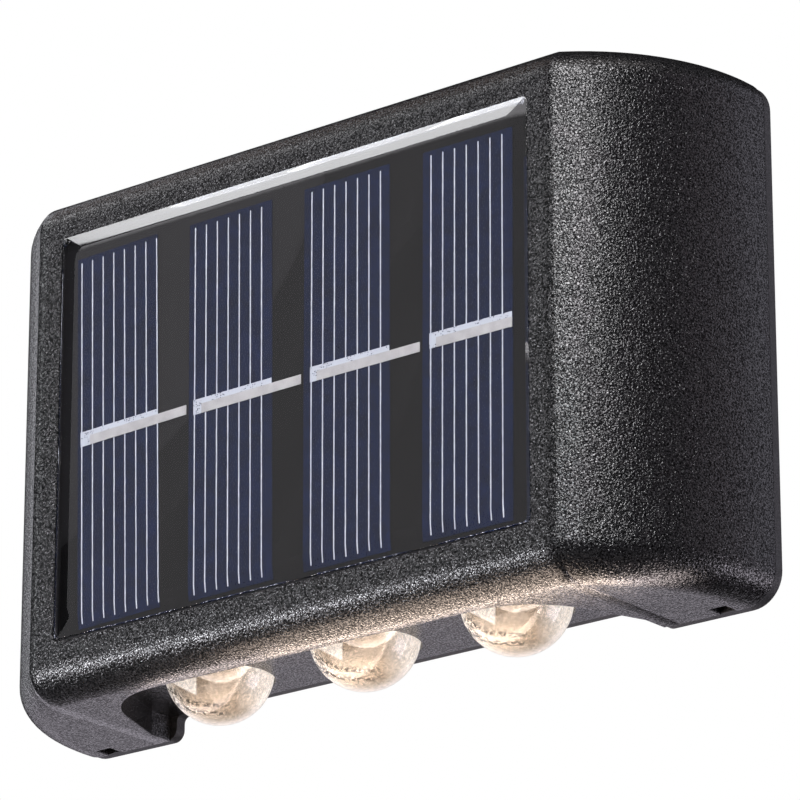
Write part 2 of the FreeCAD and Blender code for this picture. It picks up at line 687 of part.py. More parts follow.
def turned_with_strip(i, corners):
    """Corners given from the middle of strip i, turned as that strip lies and put in its place."""
    middle = f"({strip_side(i)} + {STRIP_WIDTH} / 2)"
    along, across = f"cos({STRIP_TURNS[i]})", f"sin({STRIP_TURNS[i]})"
    return [(f"{middle} + ({x}) * {along} - ({z}) * {across}",
             f"{STRIP_MIDDLE} + ({x}) * {across} + ({z}) * {along}") for x, z in corners]


def strip_outline(i, gap="0"):
    """Corners of strip i, or of the room round it."""
    size = (f"({STRIP_WIDTH} + 2 * {gap})", f"({STRIP_HEIGHT} + 2 * {gap})")
    return turned_with_strip(i, rectangle("0", "0", *size))


def ribbon_outline(i, gap="0"):
    """Corners of the ribbon on strip i, which runs on nearly to the next strip."""
    left, right = f"(ribbon_start - {STRIP_WIDTH} / 2)", f"({STRIP_WIDTH} / 2)"
    if i != STRIPS[-1]:
        right = f"({right} + strip_gap - ribbon_short)"
    size = (f"({right} - {left} + 2 * {gap})", f"(ribbon_width + 2 * {gap})")
    return turned_with_strip(i, rectangle(f"({left} + {right}) / 2", "-ribbon_drop", *size))


def solar_panel():
    """Adhesive, board, cell strips, ribbons and the resin that is cast over them."""
    outer = panel_outline("panel_gap")
    half = f"({PANEL_HALF} - panel_gap - glue_width)"
    low, high = f"({PANEL_BOTTOM} + panel_gap + glue_width)", f"({PANEL_TOP} - panel_gap - glue_width)"
    window = [(f"-{half}", low), (half, low), (half, high), (f"-{half}", high)]
    slab("panel_glue", f"-{GLUE_Y}", "glue_thick", outer, window)
    slab("panel_board", f"-{PANEL_Y}", "cell_board", outer)
    for i in STRIPS:
        slab(f"solar_cell_{i + 1}", f"-{CELL_Y}", "strip_thick", strip_outline(i))
    slab("cell_ribbons", f"-{CELL_Y} + strip_thick", "ribbon_thick", *map(ribbon_outline, STRIPS))

    resin = slab("panel_resin", f"-{CELL_Y}", "resin_thick", outer)
    slope_resin(resin)
    room = sketch_on(resin, "XZ", f"-{CELL_Y}")
    for i in STRIPS:
        outline(room, strip_outline(i, "fit_gap"))
    cut(resin, room, "strip_thick + fit_gap")
    room = sketch_on(resin, "XZ", f"-{CELL_Y} + strip_thick")
    for i in STRIPS:
        outline(room, ribbon_outline(i, "fit_gap"))
    cut(resin, room, "ribbon_thick + fit_gap")


def slope_resin(resin):
    """Take a long wedge off each side of the resin's front."""
    front, reach = f"({CELL_Y} - resin_thick)", f"({PANEL_HALF} - panel_gap)"
    low, high = f"({PANEL_BOTTOM} + panel_gap)", f"({PANEL_TOP} - panel_gap)"
    edge = f"({front} + resin_fall)"
    sides = sketch_on(resin, "XY")
    for sign in (-1, 1):
        wedge = [(f"{sign} * ({reach} - resin_border)", front), (f"{sign} * {reach}", edge),
                 (f"{sign} * ({reach} + resin_fall)", f"{front} - resin_fall")]
        outline(sides, wedge)
    cut(resin, sides, "height", midplane=True)
    ends = sketch_on(resin, "YZ")
    for sign, end in ((-1, low), (1, high)):
        wedge = [(front, f"{end} - {sign} * resin_border"), (edge, end),
                 (f"{front} - resin_fall", f"{end} + {sign} * resin_fall")]
        outline(ends, wedge)
    cut(resin, ends, "width", midplane=True)


def lens(label, x, end):
    """Clear dome with a flange and a hollow for its diode, turned about its axis."""
    body = new_body(label)
    half = sketch_on(body, "XZ")
    rim = "(wall + seal_thick - lens_set)"
    outline(half, [
        ("0", "-lens_radius"),
        ("lens_radius", "0", "lens_radius"),
        ("lens_radius", rim),
        (FLANGE, rim),
        (FLANGE, f"{rim} + flange_thick"),
        ("hollow_radius", f"{rim} + flange_thick"),
        ("hollow_radius", f"{rim} + flange_thick - hollow_depth + hollow_radius"),
        ("0", f"{rim} + flange_thick - hollow_depth", "hollow_radius", "right"),
    ])
    turned = body.newObject("PartDesign::Revolution", "Revolution")
    turned.Profile = half
    turned.ReferenceAxis = (half, ["V_Axis"])
    turned.Angle = 360
    doc.recompute()
    turn = Rotation() if end < 0 else Rotation(Vector(1, 0, 0), 180)
    place(body, x, "-lens_back", f"{end} * ({CEILING} - lens_set)", turn)


def light_end(name, end):
    """Lenses, washers, light board, diodes and screws of one well. end is -1 below, 1 above."""
    names = ("left", "middle", "right")
    places = [(side, f"{step} * lens_pitch") for step, side in enumerate(names, start=-1)]
    for side, x in places:
        lens(f"{name}_lens_{side}", x, end)
    along = "z" if end < 0 else "-z"
    washers = []
    diodes = []
    for side, x in places:
        start = (x, "-lens_back", f"{end} * {CAVITY_TOP}")
        outer = rod(start, FLANGE, "seal_thick", along)
        inner = rod(start, "lens_radius + lens_gap", "seal_thick", along)
        washers.append(less(outer, inner))
        low = f"{end} * {LED_BOARD_Z}" if end > 0 else f"-{LED_BOARD_Z} - led_height"
        diodes.append(box((f"{x} - led_length / 2", "-lens_back - led_width / 2", low),
                          ("led_length", "led_width", "led_height")))
    piece(together(washers, "Part::Compound"), f"{name}_lens_seals")
    piece(together(diodes, "Part::Compound"), f"{name}_leds")

    board = new_body(f"{name}_led_board")
    start = LED_BOARD_Z if end < 0 else f"({LED_BOARD_Z} - led_board_thick)"
    start = f"-{start}" if end < 0 else start
    plate = outline(sketch_on(board, "XY", start),
                    rectangle("0", "-lens_back", "led_board_length", "led_board_width"))
    posts = [(f"{sign} * lens_pitch / 2", "-lens_back") for sign in (-1, 1)]
    circles(plate, "small_shank + pass_gap", posts)
    grow(board, plate, "led_board_thick")
    inner = f"{end} * ({LED_BOARD_Z} - led_board_thick)"
    screws(f"{name}_led_board_screws", [(x, y, inner) for x, y in posts],
           ("small_head", "small_head_height"), ("small_shank", "led_board_thick + small_grip"),
           "-z" if end < 0 else "z")


def control_unit():
    """Control board with what stands on it, and the screws that hold it."""
    board = new_body("control_board")
    plate = outline(sketch_on(board, "XZ", f"-{CONTROL_REAR}"),
                    rectangle("0", BOARD_MIDDLE, "board_width", BOARD_HEIGHT))
    circles(plate, "small_shank + pass_gap", board_screw_places())
    grow(board, plate, "board_thick")
    screws("board_screws", [(x, CONTROL_REAR, z) for x, z in board_screw_places()],
           ("small_head", "small_head_height"), ("small_shank", "board_thick + small_grip"), "-y")
    piece(box(("-board_width / 4 - chip_length / 2", CONTROL_REAR, f"{BOARD_MIDDLE} - chip_width / 2"),
              ("chip_length", "chip_height", "chip_width")), "driver_chip")
    piece(rod(("board_width / 4", f"{CONTROL_REAR} + coil_height", BOARD_MIDDLE),
              "coil_radius", "coil_height", "-y"), "storage_coil")
    plugs = [box((x, CONTROL_REAR, z), ("plug_length", "plug_height", "plug_width"))
             for x, z in (PANEL_PLUG, BATTERY_PLUG, LOWER_PLUG, UPPER_PLUG)]
    piece(together(plugs, "Part::Compound"), "lead_plugs")


def power_button():
    """Switch on the control board, its plunger, and the button in the cover that presses it."""
    case = new_body("power_switch")
    grow(case, outline(sketch_on(case, "XZ", f"-{SWITCH_REAR}"),
                       rectangle("0", BUTTON_Z, "switch_size", "switch_size")), "switch_height")
    shaft = "(plunger_side + 2 * plunger_gap)"
    well = outline(sketch_on(case, "XZ", f"-{SWITCH_REAR}"), rectangle("0", BUTTON_Z, shaft, shaft))
    cut(case, well, "plunger_in + button_travel + plunger_gap")
    piece(box(("-plunger_side / 2", f"{SWITCH_REAR} - plunger_in", f"{BUTTON_Z} - plunger_side / 2"),
              ("plunger_side", f"plunger_in + {PLUNGER_OUT}", "plunger_side")), "switch_plunger")

    cap = new_body("power_button")
    face = circles(sketch_on(cap, "XZ", "button_sink"), "button_radius", [("0", BUTTON_Z)])
    stem = grow(cap, face, f"-button_sink - {COLLAR_Y}")
    round_edges(cap, stem, "button_edge", lambda edge: level(edge, "Y", "-button_sink"))
    collar = circles(sketch_on(cap, "XZ", f"-{COLLAR_Y}"), "collar_radius", [("0", BUTTON_Z)])
    grow(cap, collar, "collar_thick")


def battery():
    """Storage cell lying across the light in a tray, with a contact at each end."""
    inner = "(battery_length + 2 * contact_thick)"
    outer = f"({inner} + 2 * holder_wall)"
    tray = box((f"-{outer} / 2", INNER_FRONT, f"{BATTERY_Z} - {HOLDER_HALF}"),
               (outer, "holder_rise", f"2 * {HOLDER_HALF}"))
    bed = rod((f"-{inner} / 2", BATTERY_Y, BATTERY_Z), "battery_radius + fit_gap", inner, "x")
    mouth = box((f"-{inner} / 2", BATTERY_Y, f"{BATTERY_Z} - battery_radius - fit_gap"),
                (inner, "holder_rise", "2 * (battery_radius + fit_gap)"))
    piece(less(tray, together([bed, mouth])), "battery_holder")
    can = rod(("-battery_length / 2", BATTERY_Y, BATTERY_Z), "battery_radius",
              "battery_length - battery_nub", "x")
    nub = rod(("0", BATTERY_Y, BATTERY_Z), "nub_radius", "battery_length / 2", "x")
    piece(together([can, nub]), "battery_cell")
    for label, x in (("battery_contact_left", f"-{inner} / 2"),
                     ("battery_contact_right", "battery_length / 2")):
        piece(box((x, f"{BATTERY_Y} - contact_sink", f"{BATTERY_Z} - contact_side / 2"),
                  ("contact_thick", "contact_side", "contact_side")), label)


def lead_path(points, bend):
    """Straight runs joined by tangent arcs of one radius, or less where a run is short."""
    edges = []
    last = points[0]
    for before, corner, after in zip(points, points[1:], points[2:]):
        inward = (corner - before).normalize()
        outward = (after - corner).normalize()
        half_turn = inward.getAngle(outward) / 2
        room = BEND_SHARE * min((corner - before).Length, (after - corner).Length)
        trim = min(bend * math.tan(half_turn), room)
        radius = trim / math.tan(half_turn)
        start, end = corner - inward * trim, corner + outward * trim
        crown = radius / math.cos(half_turn) - radius
        middle = corner + (outward - inward).normalize() * crown
        edges.append(Part.LineSegment(last, start).toShape())
        edges.append(Part.Arc(start, middle, end).toShape())
        last = end
    edges.append(Part.LineSegment(last, points[-1]).toShape())
    return Part.Wire(edges)


def lead(label, route):
    """Insulated wire swept along its route, a list of points given as expressions."""
    points = [Vector(*(value_of(text) for text in point)) for point in route]
    path = lead_path(points, value_of("lead_bend"))
    radius = value_of("lead_radius")
    section = Part.Wire(Part.makeCircle(radius, points[0], points[1] - points[0]))
    wire = doc.addObject("Part::Feature", label)
    wire.Shape = path.makePipeShell([section], True, False)
    piece(wire, label)


def all_leads():
    """Four pairs of leads, each from its source to its plug on the control board."""
    for colour, step in (("red", "(lead_pitch / 2)"), ("black", "(-lead_pitch / 2)")):
        hole_x, plug_z = PANEL_PLUG[0], f"({PANEL_PLUG[1]} + plug_width / 2 + {step})"
        mid_y = f"({CONTROL_REAR} + plug_height / 2)"
        start_x = f"({hole_x} - lead_out)"
        lead(f"panel_lead_{colour}",
             [(start_x, PANEL_Y, plug_z), (start_x, mid_y, plug_z), (hole_x, mid_y, plug_z)])
        x = f"({LOWER_PLUG[0]} + plug_length / 2 + {step})"
        lead(f"lower_led_lead_{colour}",
             [(x, mid_y, f"led_board_thick - {LED_BOARD_Z}"), (x, mid_y, LOWER_PLUG[1])])
        over_y = f"({CONTROL_REAR} + lead_over)"
        x = f"({start_x} + {step})"
        z = f"({UPPER_PLUG[1]} + plug_width / 2 + {step})"
        lead(f"upper_led_lead_{colour}",
             [(x, over_y, f"{LED_BOARD_Z} - led_board_thick"), (x, over_y, z),
              (UPPER_PLUG[0], over_y, z)])
    battery_leads()


def battery_leads():
    """Red lead round the right end of the tray; black lead along the gap above the board."""
    tab_y, y = f"({INNER_FRONT} + holder_rise + lead_lift)", f"({CONTROL_REAR} + plug_height / 2)"
    plug_x, low = f"({BATTERY_PLUG[0]} + plug_length)", f"{BATTERY_PLUG[1]} + plug_width / 2"
    tab_x, tab_z = "(battery_length / 2 + contact_thick)", f"({BATTERY_Z} - tab_offset)"
    near, far = f"({plug_x} + lead_side)", f"({plug_x} + lead_side + lead_pitch)"
    red_z, black_z = f"({low} - lead_pitch / 2)", f"({low} + lead_pitch / 2)"
    lead("battery_lead_red", [(tab_x, tab_y, tab_z), (far, tab_y, tab_z), (far, y, red_z),
                              (plug_x, y, red_z)])
    off_x, gap_z = f"(-{tab_x} - lead_side)", f"({BOARD_TOP} + lead_room / 2)"
    lead("battery_lead_black", [(f"-{tab_x}", tab_y, tab_z), (off_x, tab_y, tab_z), (off_x, y, gap_z),
                                (near, y, gap_z), (near, y, black_z), (plug_x, y, black_z)])


def check_and_write():
    """Refuse a failed or unsound object, then write each piece to its own file."""
    doc.recompute()
    for item in doc.Objects:
        if {"Invalid", "Error"} & set(item.State):
            raise ValueError(f"{item.Label} failed: {item.State}")
    os.makedirs("parts", exist_ok=True)
    for item in pieces:
        shape = item.Shape
        if shape.isNull() or not shape.isValid():
            raise ValueError(f"{item.Label} has no sound shape")
        shape.exportStep(f"parts/{item.Label}.step")
        print(item.Label, len(shape.Solids), round(shape.Volume, 2))


front_housing()
back_cover()
screws("cover_screws", [(x, "-head_sink - screw_head_height", z) for x, z in four_ways(BOSS_X, BOSS_Z)],
       ("screw_head", "screw_head_height"),
       ("screw_shank", "cover_plate + pad_thick - head_sink - screw_head_height + screw_grip"), "-y")
ring("cover_gasket", "cover_plate", "seal_depth", "fit_gap", "(fit_gap + seal_width)")
solar_panel()
light_end("lower", -1)
light_end("upper", 1)
control_unit()
power_button()
battery()
all_leads()
check_and_write()
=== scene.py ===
import math

import bpy
from bpy.props import FloatProperty, FloatVectorProperty, PointerProperty
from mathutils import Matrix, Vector, noise


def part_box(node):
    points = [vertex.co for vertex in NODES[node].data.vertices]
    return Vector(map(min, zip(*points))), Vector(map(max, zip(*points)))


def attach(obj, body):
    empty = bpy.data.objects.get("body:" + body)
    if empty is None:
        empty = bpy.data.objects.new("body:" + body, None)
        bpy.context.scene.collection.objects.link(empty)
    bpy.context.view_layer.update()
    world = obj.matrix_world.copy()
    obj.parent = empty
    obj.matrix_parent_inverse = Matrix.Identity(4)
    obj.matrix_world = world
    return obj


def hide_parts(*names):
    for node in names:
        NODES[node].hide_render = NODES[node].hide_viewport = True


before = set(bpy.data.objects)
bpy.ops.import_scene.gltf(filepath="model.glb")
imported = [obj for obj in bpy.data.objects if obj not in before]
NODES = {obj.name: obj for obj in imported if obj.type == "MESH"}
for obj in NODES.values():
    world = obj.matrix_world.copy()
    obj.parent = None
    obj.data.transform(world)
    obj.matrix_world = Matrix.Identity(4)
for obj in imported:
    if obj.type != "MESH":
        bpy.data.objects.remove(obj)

bl_info = {
    "name": "Fence Light",
    "version": (1, 0, 0),
    "blender": (4, 5, 0),
    "location": "View3D > Sidebar > Fence Light",
    "description": "Finishes and fine pieces of a solar fence light that shines up and down",
    "category": "Object",
}

MM = 0.001
LIGHT = "light"
SIDES = {"lower": -1, "upper": 1}
PLACES = ("left", "middle", "right")

# Places on the housing and the lenses that the finishes follow, from the middle of the light.
CREASE_OUT = 42.98 * MM
RESIN_TOP_STRIP = 25.9 * MM
LENS_PITCH = 24.4 * MM
LENS_BACK = 10.6 * MM
LENS_MIDDLE = 33.0 * MM
LENS_RADIUS = 7.2 * MM


# Shader tools


class Wires:
    """Short calls that add the nodes of one shader tree and join them."""

    def __init__(self, tree):
        self.tree = tree

    def add(self, kind, values=None, **settings):
        """A node with its settings made and its inputs fed."""
        node = self.tree.nodes.new(kind)
        for name, value in settings.items():
            setattr(node, name, value)
        for socket, value in (values or {}).items():
            self.feed(node.inputs[socket], value)
        return node

    def feed(self, socket, value):
        """Join an output to a socket, or set the socket's own value."""
        if isinstance(value, bpy.types.NodeSocket):
            self.tree.links.new(value, socket)
        else:
            socket.default_value = value

    def maths(self, operation, *values):
        """One sum on values or outputs."""
        sockets = dict(enumerate(values))
        return self.add("ShaderNodeMath", sockets, operation=operation).outputs[0]

    def ramp(self, value, start, end, low=0.0, high=1.0):
        """A value taken from one range to another, held at both ends."""
        sockets = dict(enumerate((value, start, end, low, high)))
        return self.add("ShaderNodeMapRange", sockets).outputs[0]

    def blend(self, amount, first, second):
        """A colour between two others."""
        node = self.add("ShaderNodeMix", data_type="RGBA")
        for socket, value in zip((0, 6, 7), (amount, first, second)):
            self.feed(node.inputs[socket], value)
        return node.outputs[2]

    def place(self):
        """Where the surface is on its own piece, in metres."""
        return self.add("ShaderNodeTexCoord").outputs["Object"]

    def noise(self, scale, detail=2.0, rough=0.5, swirl=0.0, where=None):
        """Cloudy noise between 0 and 1."""
        values = {"Vector": where or self.place(), "Scale": scale, "Detail": detail,
                  "Roughness": rough, "Distortion": swirl}
        return self.add("ShaderNodeTexNoise", values).outputs[0]

    def cells(self, scale, scatter=1.0, feature="F1"):
        """The outputs of cellular noise."""
        values = {"Vector": self.place(), "Scale": scale, "Randomness": scatter}
        return self.add("ShaderNodeTexVoronoi", values, feature=feature).outputs

    def group(self, tree):
        """The outputs of a shared effect that is placed here."""
        return self.add("ShaderNodeGroup", node_tree=tree).outputs


def shared(name, inputs, outputs, fill):
    """A node group, built the first time that a material asks for it."""
    tree = bpy.data.node_groups.get(name)
    if tree:
        return tree
    tree = bpy.data.node_groups.new(name, "ShaderNodeTree")
    for socket, value in inputs.items():
        tree.interface.new_socket(socket, in_out="INPUT",
                                  socket_type="NodeSocketFloat").default_value = value
    for socket, kind in outputs.items():
        tree.interface.new_socket(socket, in_out="OUTPUT", socket_type=f"NodeSocket{kind}")
    wires = Wires(tree)
    given = wires.add("NodeGroupInput").outputs
    result = wires.add("NodeGroupOutput").inputs
    for socket, value in fill(wires, given).items():
        wires.feed(result[socket], value)
    return tree


def spark_grain(wires, given):
    """Worm-like pebbles of a spark-eroded mould."""
    size = wires.maths("DIVIDE", 1.0, given["Size"])
    worms = wires.ramp(wires.noise(size, 1.5, 0.5, 0.6), 0.35, 0.65)
    specks = wires.noise(wires.maths("MULTIPLY", size, 1.3), 1.0)
    wear = wires.noise(wires.maths("MULTIPLY", size, 0.08), 3.0)
    return {
        "Height": worms,
        "Shade": wires.ramp(specks, 0.32, 0.68, 0.1, 2.1),
        "Roughness": wires.ramp(wear, 0.3, 0.7, -0.02, 0.02),
        "Polish": wires.ramp(specks, 0.44, 0.56),
    }


def moulded(wires, given):
    """Faint cloudiness of moulded plastic or rubber."""
    size = wires.maths("DIVIDE", 1.0, given["Size"])
    cloud = wires.noise(size, 3.0, 0.6)
    return {
        "Height": cloud,
        "Shade": wires.ramp(cloud, 0.3, 0.7, 0.92, 1.08),
        "Roughness": wires.ramp(cloud, 0.3, 0.7, -0.05, 0.05),
    }


def crystals(wires, given):
    """Patches of silicon crystal."""
    size = wires.maths("DIVIDE", 1.0, given["Size"])
    patches = wires.cells(size)["Color"]
    value = wires.add("ShaderNodeSeparateColor", {0: patches}).outputs[0]
    streaks = wires.noise(wires.maths("MULTIPLY", size, 1.7), 4.0, 0.65, 0.5)
    shade = wires.maths("ADD", wires.maths("MULTIPLY", value, 0.25),
                        wires.maths("MULTIPLY", streaks, 1.6))
    return {
        "Shade": shade,
        "Height": value,
        "Roughness": wires.ramp(shade, 0.2, 0.8, -0.05, 0.05),
    }


def squared(wires, value):
    """A value times itself."""
    return wires.maths("MULTIPLY", value, value)


# Two ways across a lens along which its painted glow, painted reflection and dark arcs lie, level
# and up, then the half width, the half height and the lifts of its arcs as shares of the lens's
# radius, and its specks to a metre.
PAINT_LEVEL = (0.78, 0.62, 0.0)
PAINT_UP = (0.21, -0.265, 0.94)
ARC_WIDE = 0.88
ARC_TALL = 0.31
ARC_LIFTS = (-0.07, 0.09)
SPECKS = 2600.0


def lens_painted_glow(wires, given):
    """Speckle, dark arcs, a painted reflection and painted glow, round each lens's own middle."""
    where = wires.add("ShaderNodeSeparateXYZ", {0: wires.place()}).outputs
    turns = wires.maths("DIVIDE", where["X"], given["Pitch"])
    off = wires.maths("SUBTRACT", turns, wires.maths("ROUND", turns))
    across = wires.maths("MULTIPLY", off, given["Pitch"])
    deep = wires.maths("ADD", where["Y"], given["Back"])
    up = wires.maths("SUBTRACT", given["Middle"], wires.maths("ABSOLUTE", where["Z"]))
    here = wires.add("ShaderNodeCombineXYZ", {0: across, 1: deep, 2: up}).outputs[0]

    def along(way):
        dot = wires.add("ShaderNodeVectorMath", {0: here, 1: way}, operation="DOT_PRODUCT")
        return wires.maths("DIVIDE", dot.outputs["Value"], given["Radius"])

    side, rise = along(PAINT_LEVEL), along(PAINT_UP)
    specks = wires.noise(SPECKS, 2.0)
    dark = 0.0
    for lift in ARC_LIFTS:
        low = wires.maths("ADD", rise, lift)
        reach = wires.maths("ADD", squared(wires, wires.maths("DIVIDE", side, ARC_WIDE)),
                            squared(wires, wires.maths("DIVIDE", low, ARC_TALL)))
        off_arc = wires.maths("ABSOLUTE", wires.maths("SUBTRACT", reach, 1.0))
        arc = wires.maths("MULTIPLY", wires.ramp(off_arc, 0.35, 0.1),
                          wires.ramp(low, 0.03, -0.05))
        dark = wires.maths("MAXIMUM", dark, arc)
    dark = wires.maths("MULTIPLY", dark, wires.ramp(side, 0.35, -0.05))
    dark = wires.maths("MULTIPLY", dark, wires.ramp(specks, 0.6, 0.45))
    # The flat is a painted reflection of a lamp: a pale patch on each lens's left, above a slanted
    # edge.
    edge = wires.maths("ADD", wires.maths("MULTIPLY", side, 0.46), wires.maths("ADD", rise, 0.25))
    flat = wires.maths("MULTIPLY", wires.ramp(side, -0.37, -0.40), wires.ramp(edge, 0.0, 0.03))
    shade = wires.maths("MULTIPLY", wires.ramp(specks, 0.35, 0.65, 0.75, 1.15),
                        wires.ramp(dark, 0.0, 1.0, 1.0, 0.12))
    # Pale is painted light: the painted reflection, with painted glow on each lens's right side and
    # lower part.
    pale = wires.maths("MAXIMUM", flat, wires.ramp(side, 0.3, 0.75))
    pale = wires.maths("MAXIMUM", pale, wires.ramp(rise, -0.35, -0.7, 0.0, 0.7))
    return {"Height": specks, "Shade": shade, "Pale": pale}


def top_edge_highlight(wires, given):
    """Mask of the resin's top edge, where a strong coat paints a highlight."""
    height = wires.add("ShaderNodeSeparateXYZ", {0: wires.place()}).outputs["Z"]
    part = wires.maths("DIVIDE", wires.maths("SUBTRACT", height, given["Start"]), given["Size"])
    return {"Mask": wires.ramp(part, 0.0, 1.0)}


def rolled_crease(wires, given):
    """How the flat front rolls away just before the creases at its ends."""
    where = wires.add("ShaderNodeSeparateXYZ", {0: wires.place()}).outputs
    across = wires.maths("SUBTRACT", wires.maths("ABSOLUTE", where["X"]), given["Start"])
    part = wires.ramp(wires.maths("DIVIDE", across, given["Size"]), 0.0, 1.0)
    return {"Height": wires.maths("MULTIPLY", squared(wires, part), -1.0)}


def dotted_print(wires, given):
    """Pinholes in clusters across screen-printed silver."""
    size = wires.maths("DIVIDE", 1.0, given["Size"])
    spots = wires.cells(size, 0.55)["Distance"]
    hole = wires.ramp(spots, 0.24, 0.34, 1.0, 0.0)
    cluster = wires.noise(wires.maths("MULTIPLY", size, 0.28), 1.0)
    gate = wires.ramp(cluster, 0.49, 0.53)
    silver = wires.maths("SUBTRACT", 1.0, wires.maths("MULTIPLY", gate, hole))
    return {"Silver": silver, "Height": silver}


def drawn_metal(wires, given):
    """Fine lines of rolled or turned metal with a little tarnish."""
    stretch = wires.add("ShaderNodeMapping", {0: wires.place(), 3: (1.0, 14.0, 14.0)}).outputs[0]
    size = wires.maths("DIVIDE", 1.0, given["Size"])
    lines = wires.noise(size, 3.0, 0.6, where=stretch)
    stain = wires.noise(wires.maths("MULTIPLY", size, 0.6), 3.0)
    return {
        "Height": lines,
        "Shade": wires.ramp(stain, 0.3, 0.7, 0.85, 1.1),
        "Roughness": wires.ramp(lines, 0.3, 0.7, -0.08, 0.08),
    }


def tracks(wires, given):
    """Copper tracks under the lacquer of a circuit board."""
    size = wires.maths("DIVIDE", 1.0, given["Size"])
    edge = wires.cells(size, 0.8, "DISTANCE_TO_EDGE")["Distance"]
    return {"Track": wires.ramp(edge, 0.07, 0.1, 1.0, 0.0), "Height": wires.ramp(edge, 0.07, 0.1)}


SURFACE = {"Height": "Float", "Shade": "Float", "Roughness": "Float"}
EFFECTS = {
    "Spark Grain": (spark_grain, 0.35 * MM, {**SURFACE, "Polish": "Float"}),
    "Moulded": (moulded, 2.0 * MM, SURFACE),
    "Silicon Crystals": (crystals, 3.0 * MM, SURFACE),
    "Dotted Print": (dotted_print, 0.3 * MM, {"Silver": "Float", "Height": "Float"}),
    "Drawn Metal": (drawn_metal, 1.0 * MM, SURFACE),
    "Tracks": (tracks, 2.5 * MM, {"Track": "Float", "Height": "Float"}),
}


def effect(wires, name, size=None):
    """The outputs of one shared effect, at its own or another size."""
    fill, usual, outputs = EFFECTS[name]
    tree = shared(name, {"Size": usual}, outputs, fill)
    node = wires.add("ShaderNodeGroup", node_tree=tree)
    node.inputs["Size"].default_value = size or usual
    return node.outputs


def new_material(name, shader_values=None):
    """An empty material with one surface shader: its wires and that shader."""
    material = bpy.data.materials.new(name)
    material.use_nodes = True
    material.node_tree.nodes.clear()
    wires = Wires(material.node_tree)
    shader = wires.add("ShaderNodeBsdfPrincipled", shader_values)
    output = wires.add("ShaderNodeOutputMaterial")
    wires.feed(output.inputs["Surface"], shader.outputs[0])
    return material, wires, shader


def only(wires, kind):
    """The one node of a kind in a material."""
    return next(node for node in wires.tree.nodes if node.bl_idname == kind)


def show_mixed(wires, amount, first, second):
    """Show a mix of two shaders in place of the one that a material began with."""
    mixed = wires.add("ShaderNodeMixShader",
                      {0: amount, 1: first.outputs[0], 2: second.outputs[0]})
    wires.feed(only(wires, "ShaderNodeOutputMaterial").inputs["Surface"], mixed.outputs[0])


def set_constants(shader, values):
    """Set sockets that are the same all over the surface, named with _ for each space."""
    for socket, value in values.items():
        shader.inputs[socket.replace("_", " ")].default_value = value


def opaque(colour):
    """A colour with full alpha."""
    return (*colour[:3], 1.0)


def shaded(wires, colour, shade):
    """A colour, given or from an output, made lighter or darker by a value."""
    if not isinstance(colour, bpy.types.NodeSocket):
        colour = opaque(colour)
    grey = wires.add("ShaderNodeCombineColor", {0: shade, 1: shade, 2: shade}).outputs[0]
    node = wires.add("ShaderNodeMix", data_type="RGBA", blend_type="MULTIPLY")
    for socket, value in zip((0, 6, 7), (1.0, colour, grey)):
        wires.feed(node.inputs[socket], value)
    return node.outputs[2]


def bump(wires, height, depth, normal=None):
    """A normal from a height, with its depth in millimetres."""
    values = {"Height": height, "Distance": depth * MM}
    if normal:
        values["Normal"] = normal
    return wires.add("ShaderNodeBump", values).outputs[0]


def eased(wires, radius):
    """The normal with every edge rounded a little, in millimetres."""
    return wires.add("ShaderNodeBevel", {"Radius": radius * MM}, samples=4).outputs[0]


def surface(name, colour, rough, effect_name="Moulded", size=None, depth=0.01, edge=0.0,
            roll=None, polished=False, **more):
    """A solid finish: colour, roughness, one shared effect, and eased edges."""
    material, wires, shader = new_material(name)
    found = effect(wires, effect_name, size)
    wires.feed(shader.inputs["Base Color"], shaded(wires, colour, found["Shade"]))
    wires.feed(shader.inputs["Roughness"], wires.maths("ADD", found["Roughness"], rough))
    normal = eased(wires, edge) if edge else None
    if roll:
        start, wide, fall = roll
        tree = shared("Rolled Crease", {"Start": start, "Size": wide}, {"Height": "Float"},
                      rolled_crease)
        normal = bump(wires, wires.group(tree)["Height"], fall, normal)
    bumped = bump(wires, found["Height"], depth, normal)
    wires.feed(shader.inputs["Normal"], bumped)
    if polished:
        wires.feed(shader.inputs["Coat Weight"], found["Polish"])
        wires.feed(shader.inputs["Coat Normal"], bumped)
    set_constants(shader, more)
    return material


def clear(name, colour, rough, wave, depth, haze=0.0, **more):
    """Clear plastic or resin that lets lamps through to what lies behind it."""
    values = {"Base Color": opaque(colour), "Roughness": rough, "IOR": 1.5,
              "Transmission Weight": 1.0 - haze}
    material, wires, shader = new_material(name, values)
    set_constants(shader, more)
    found = effect(wires, "Moulded", wave * MM)
    wires.feed(shader.inputs["Normal"], bump(wires, found["Height"], depth))
    shadow = wires.add("ShaderNodeLightPath").outputs["Is Shadow Ray"]
    through = wires.add("ShaderNodeBsdfTransparent", {"Color": opaque(colour)})
    show_mixed(wires, shadow, shader, through)
    return material, wires, shader


def silver_print(name, colour, under):
    """Screen-printed silver with pinholes that show the silicon."""
    material, wires, shader = new_material(name, {"Roughness": 0.5})
    found = effect(wires, "Dotted Print")
    colours = wires.blend(found["Silver"], opaque(under), opaque(colour))
    wires.feed(shader.inputs["Base Color"], colours)
    wires.feed(shader.inputs["Normal"], bump(wires, found["Height"], 0.01))
    return material


def circuit(name, lacquer, copper):
    """Lacquered circuit board with tracks under the lacquer."""
    material, wires, shader = new_material(name, {"Roughness": 0.35, "Coat Weight": 0.4})
    found = effect(wires, "Tracks")
    wires.feed(shader.inputs["Base Color"],
               wires.blend(found["Track"], opaque(lacquer), opaque(copper)))
    wires.feed(shader.inputs["Normal"], bump(wires, found["Height"], 0.02))
    return material


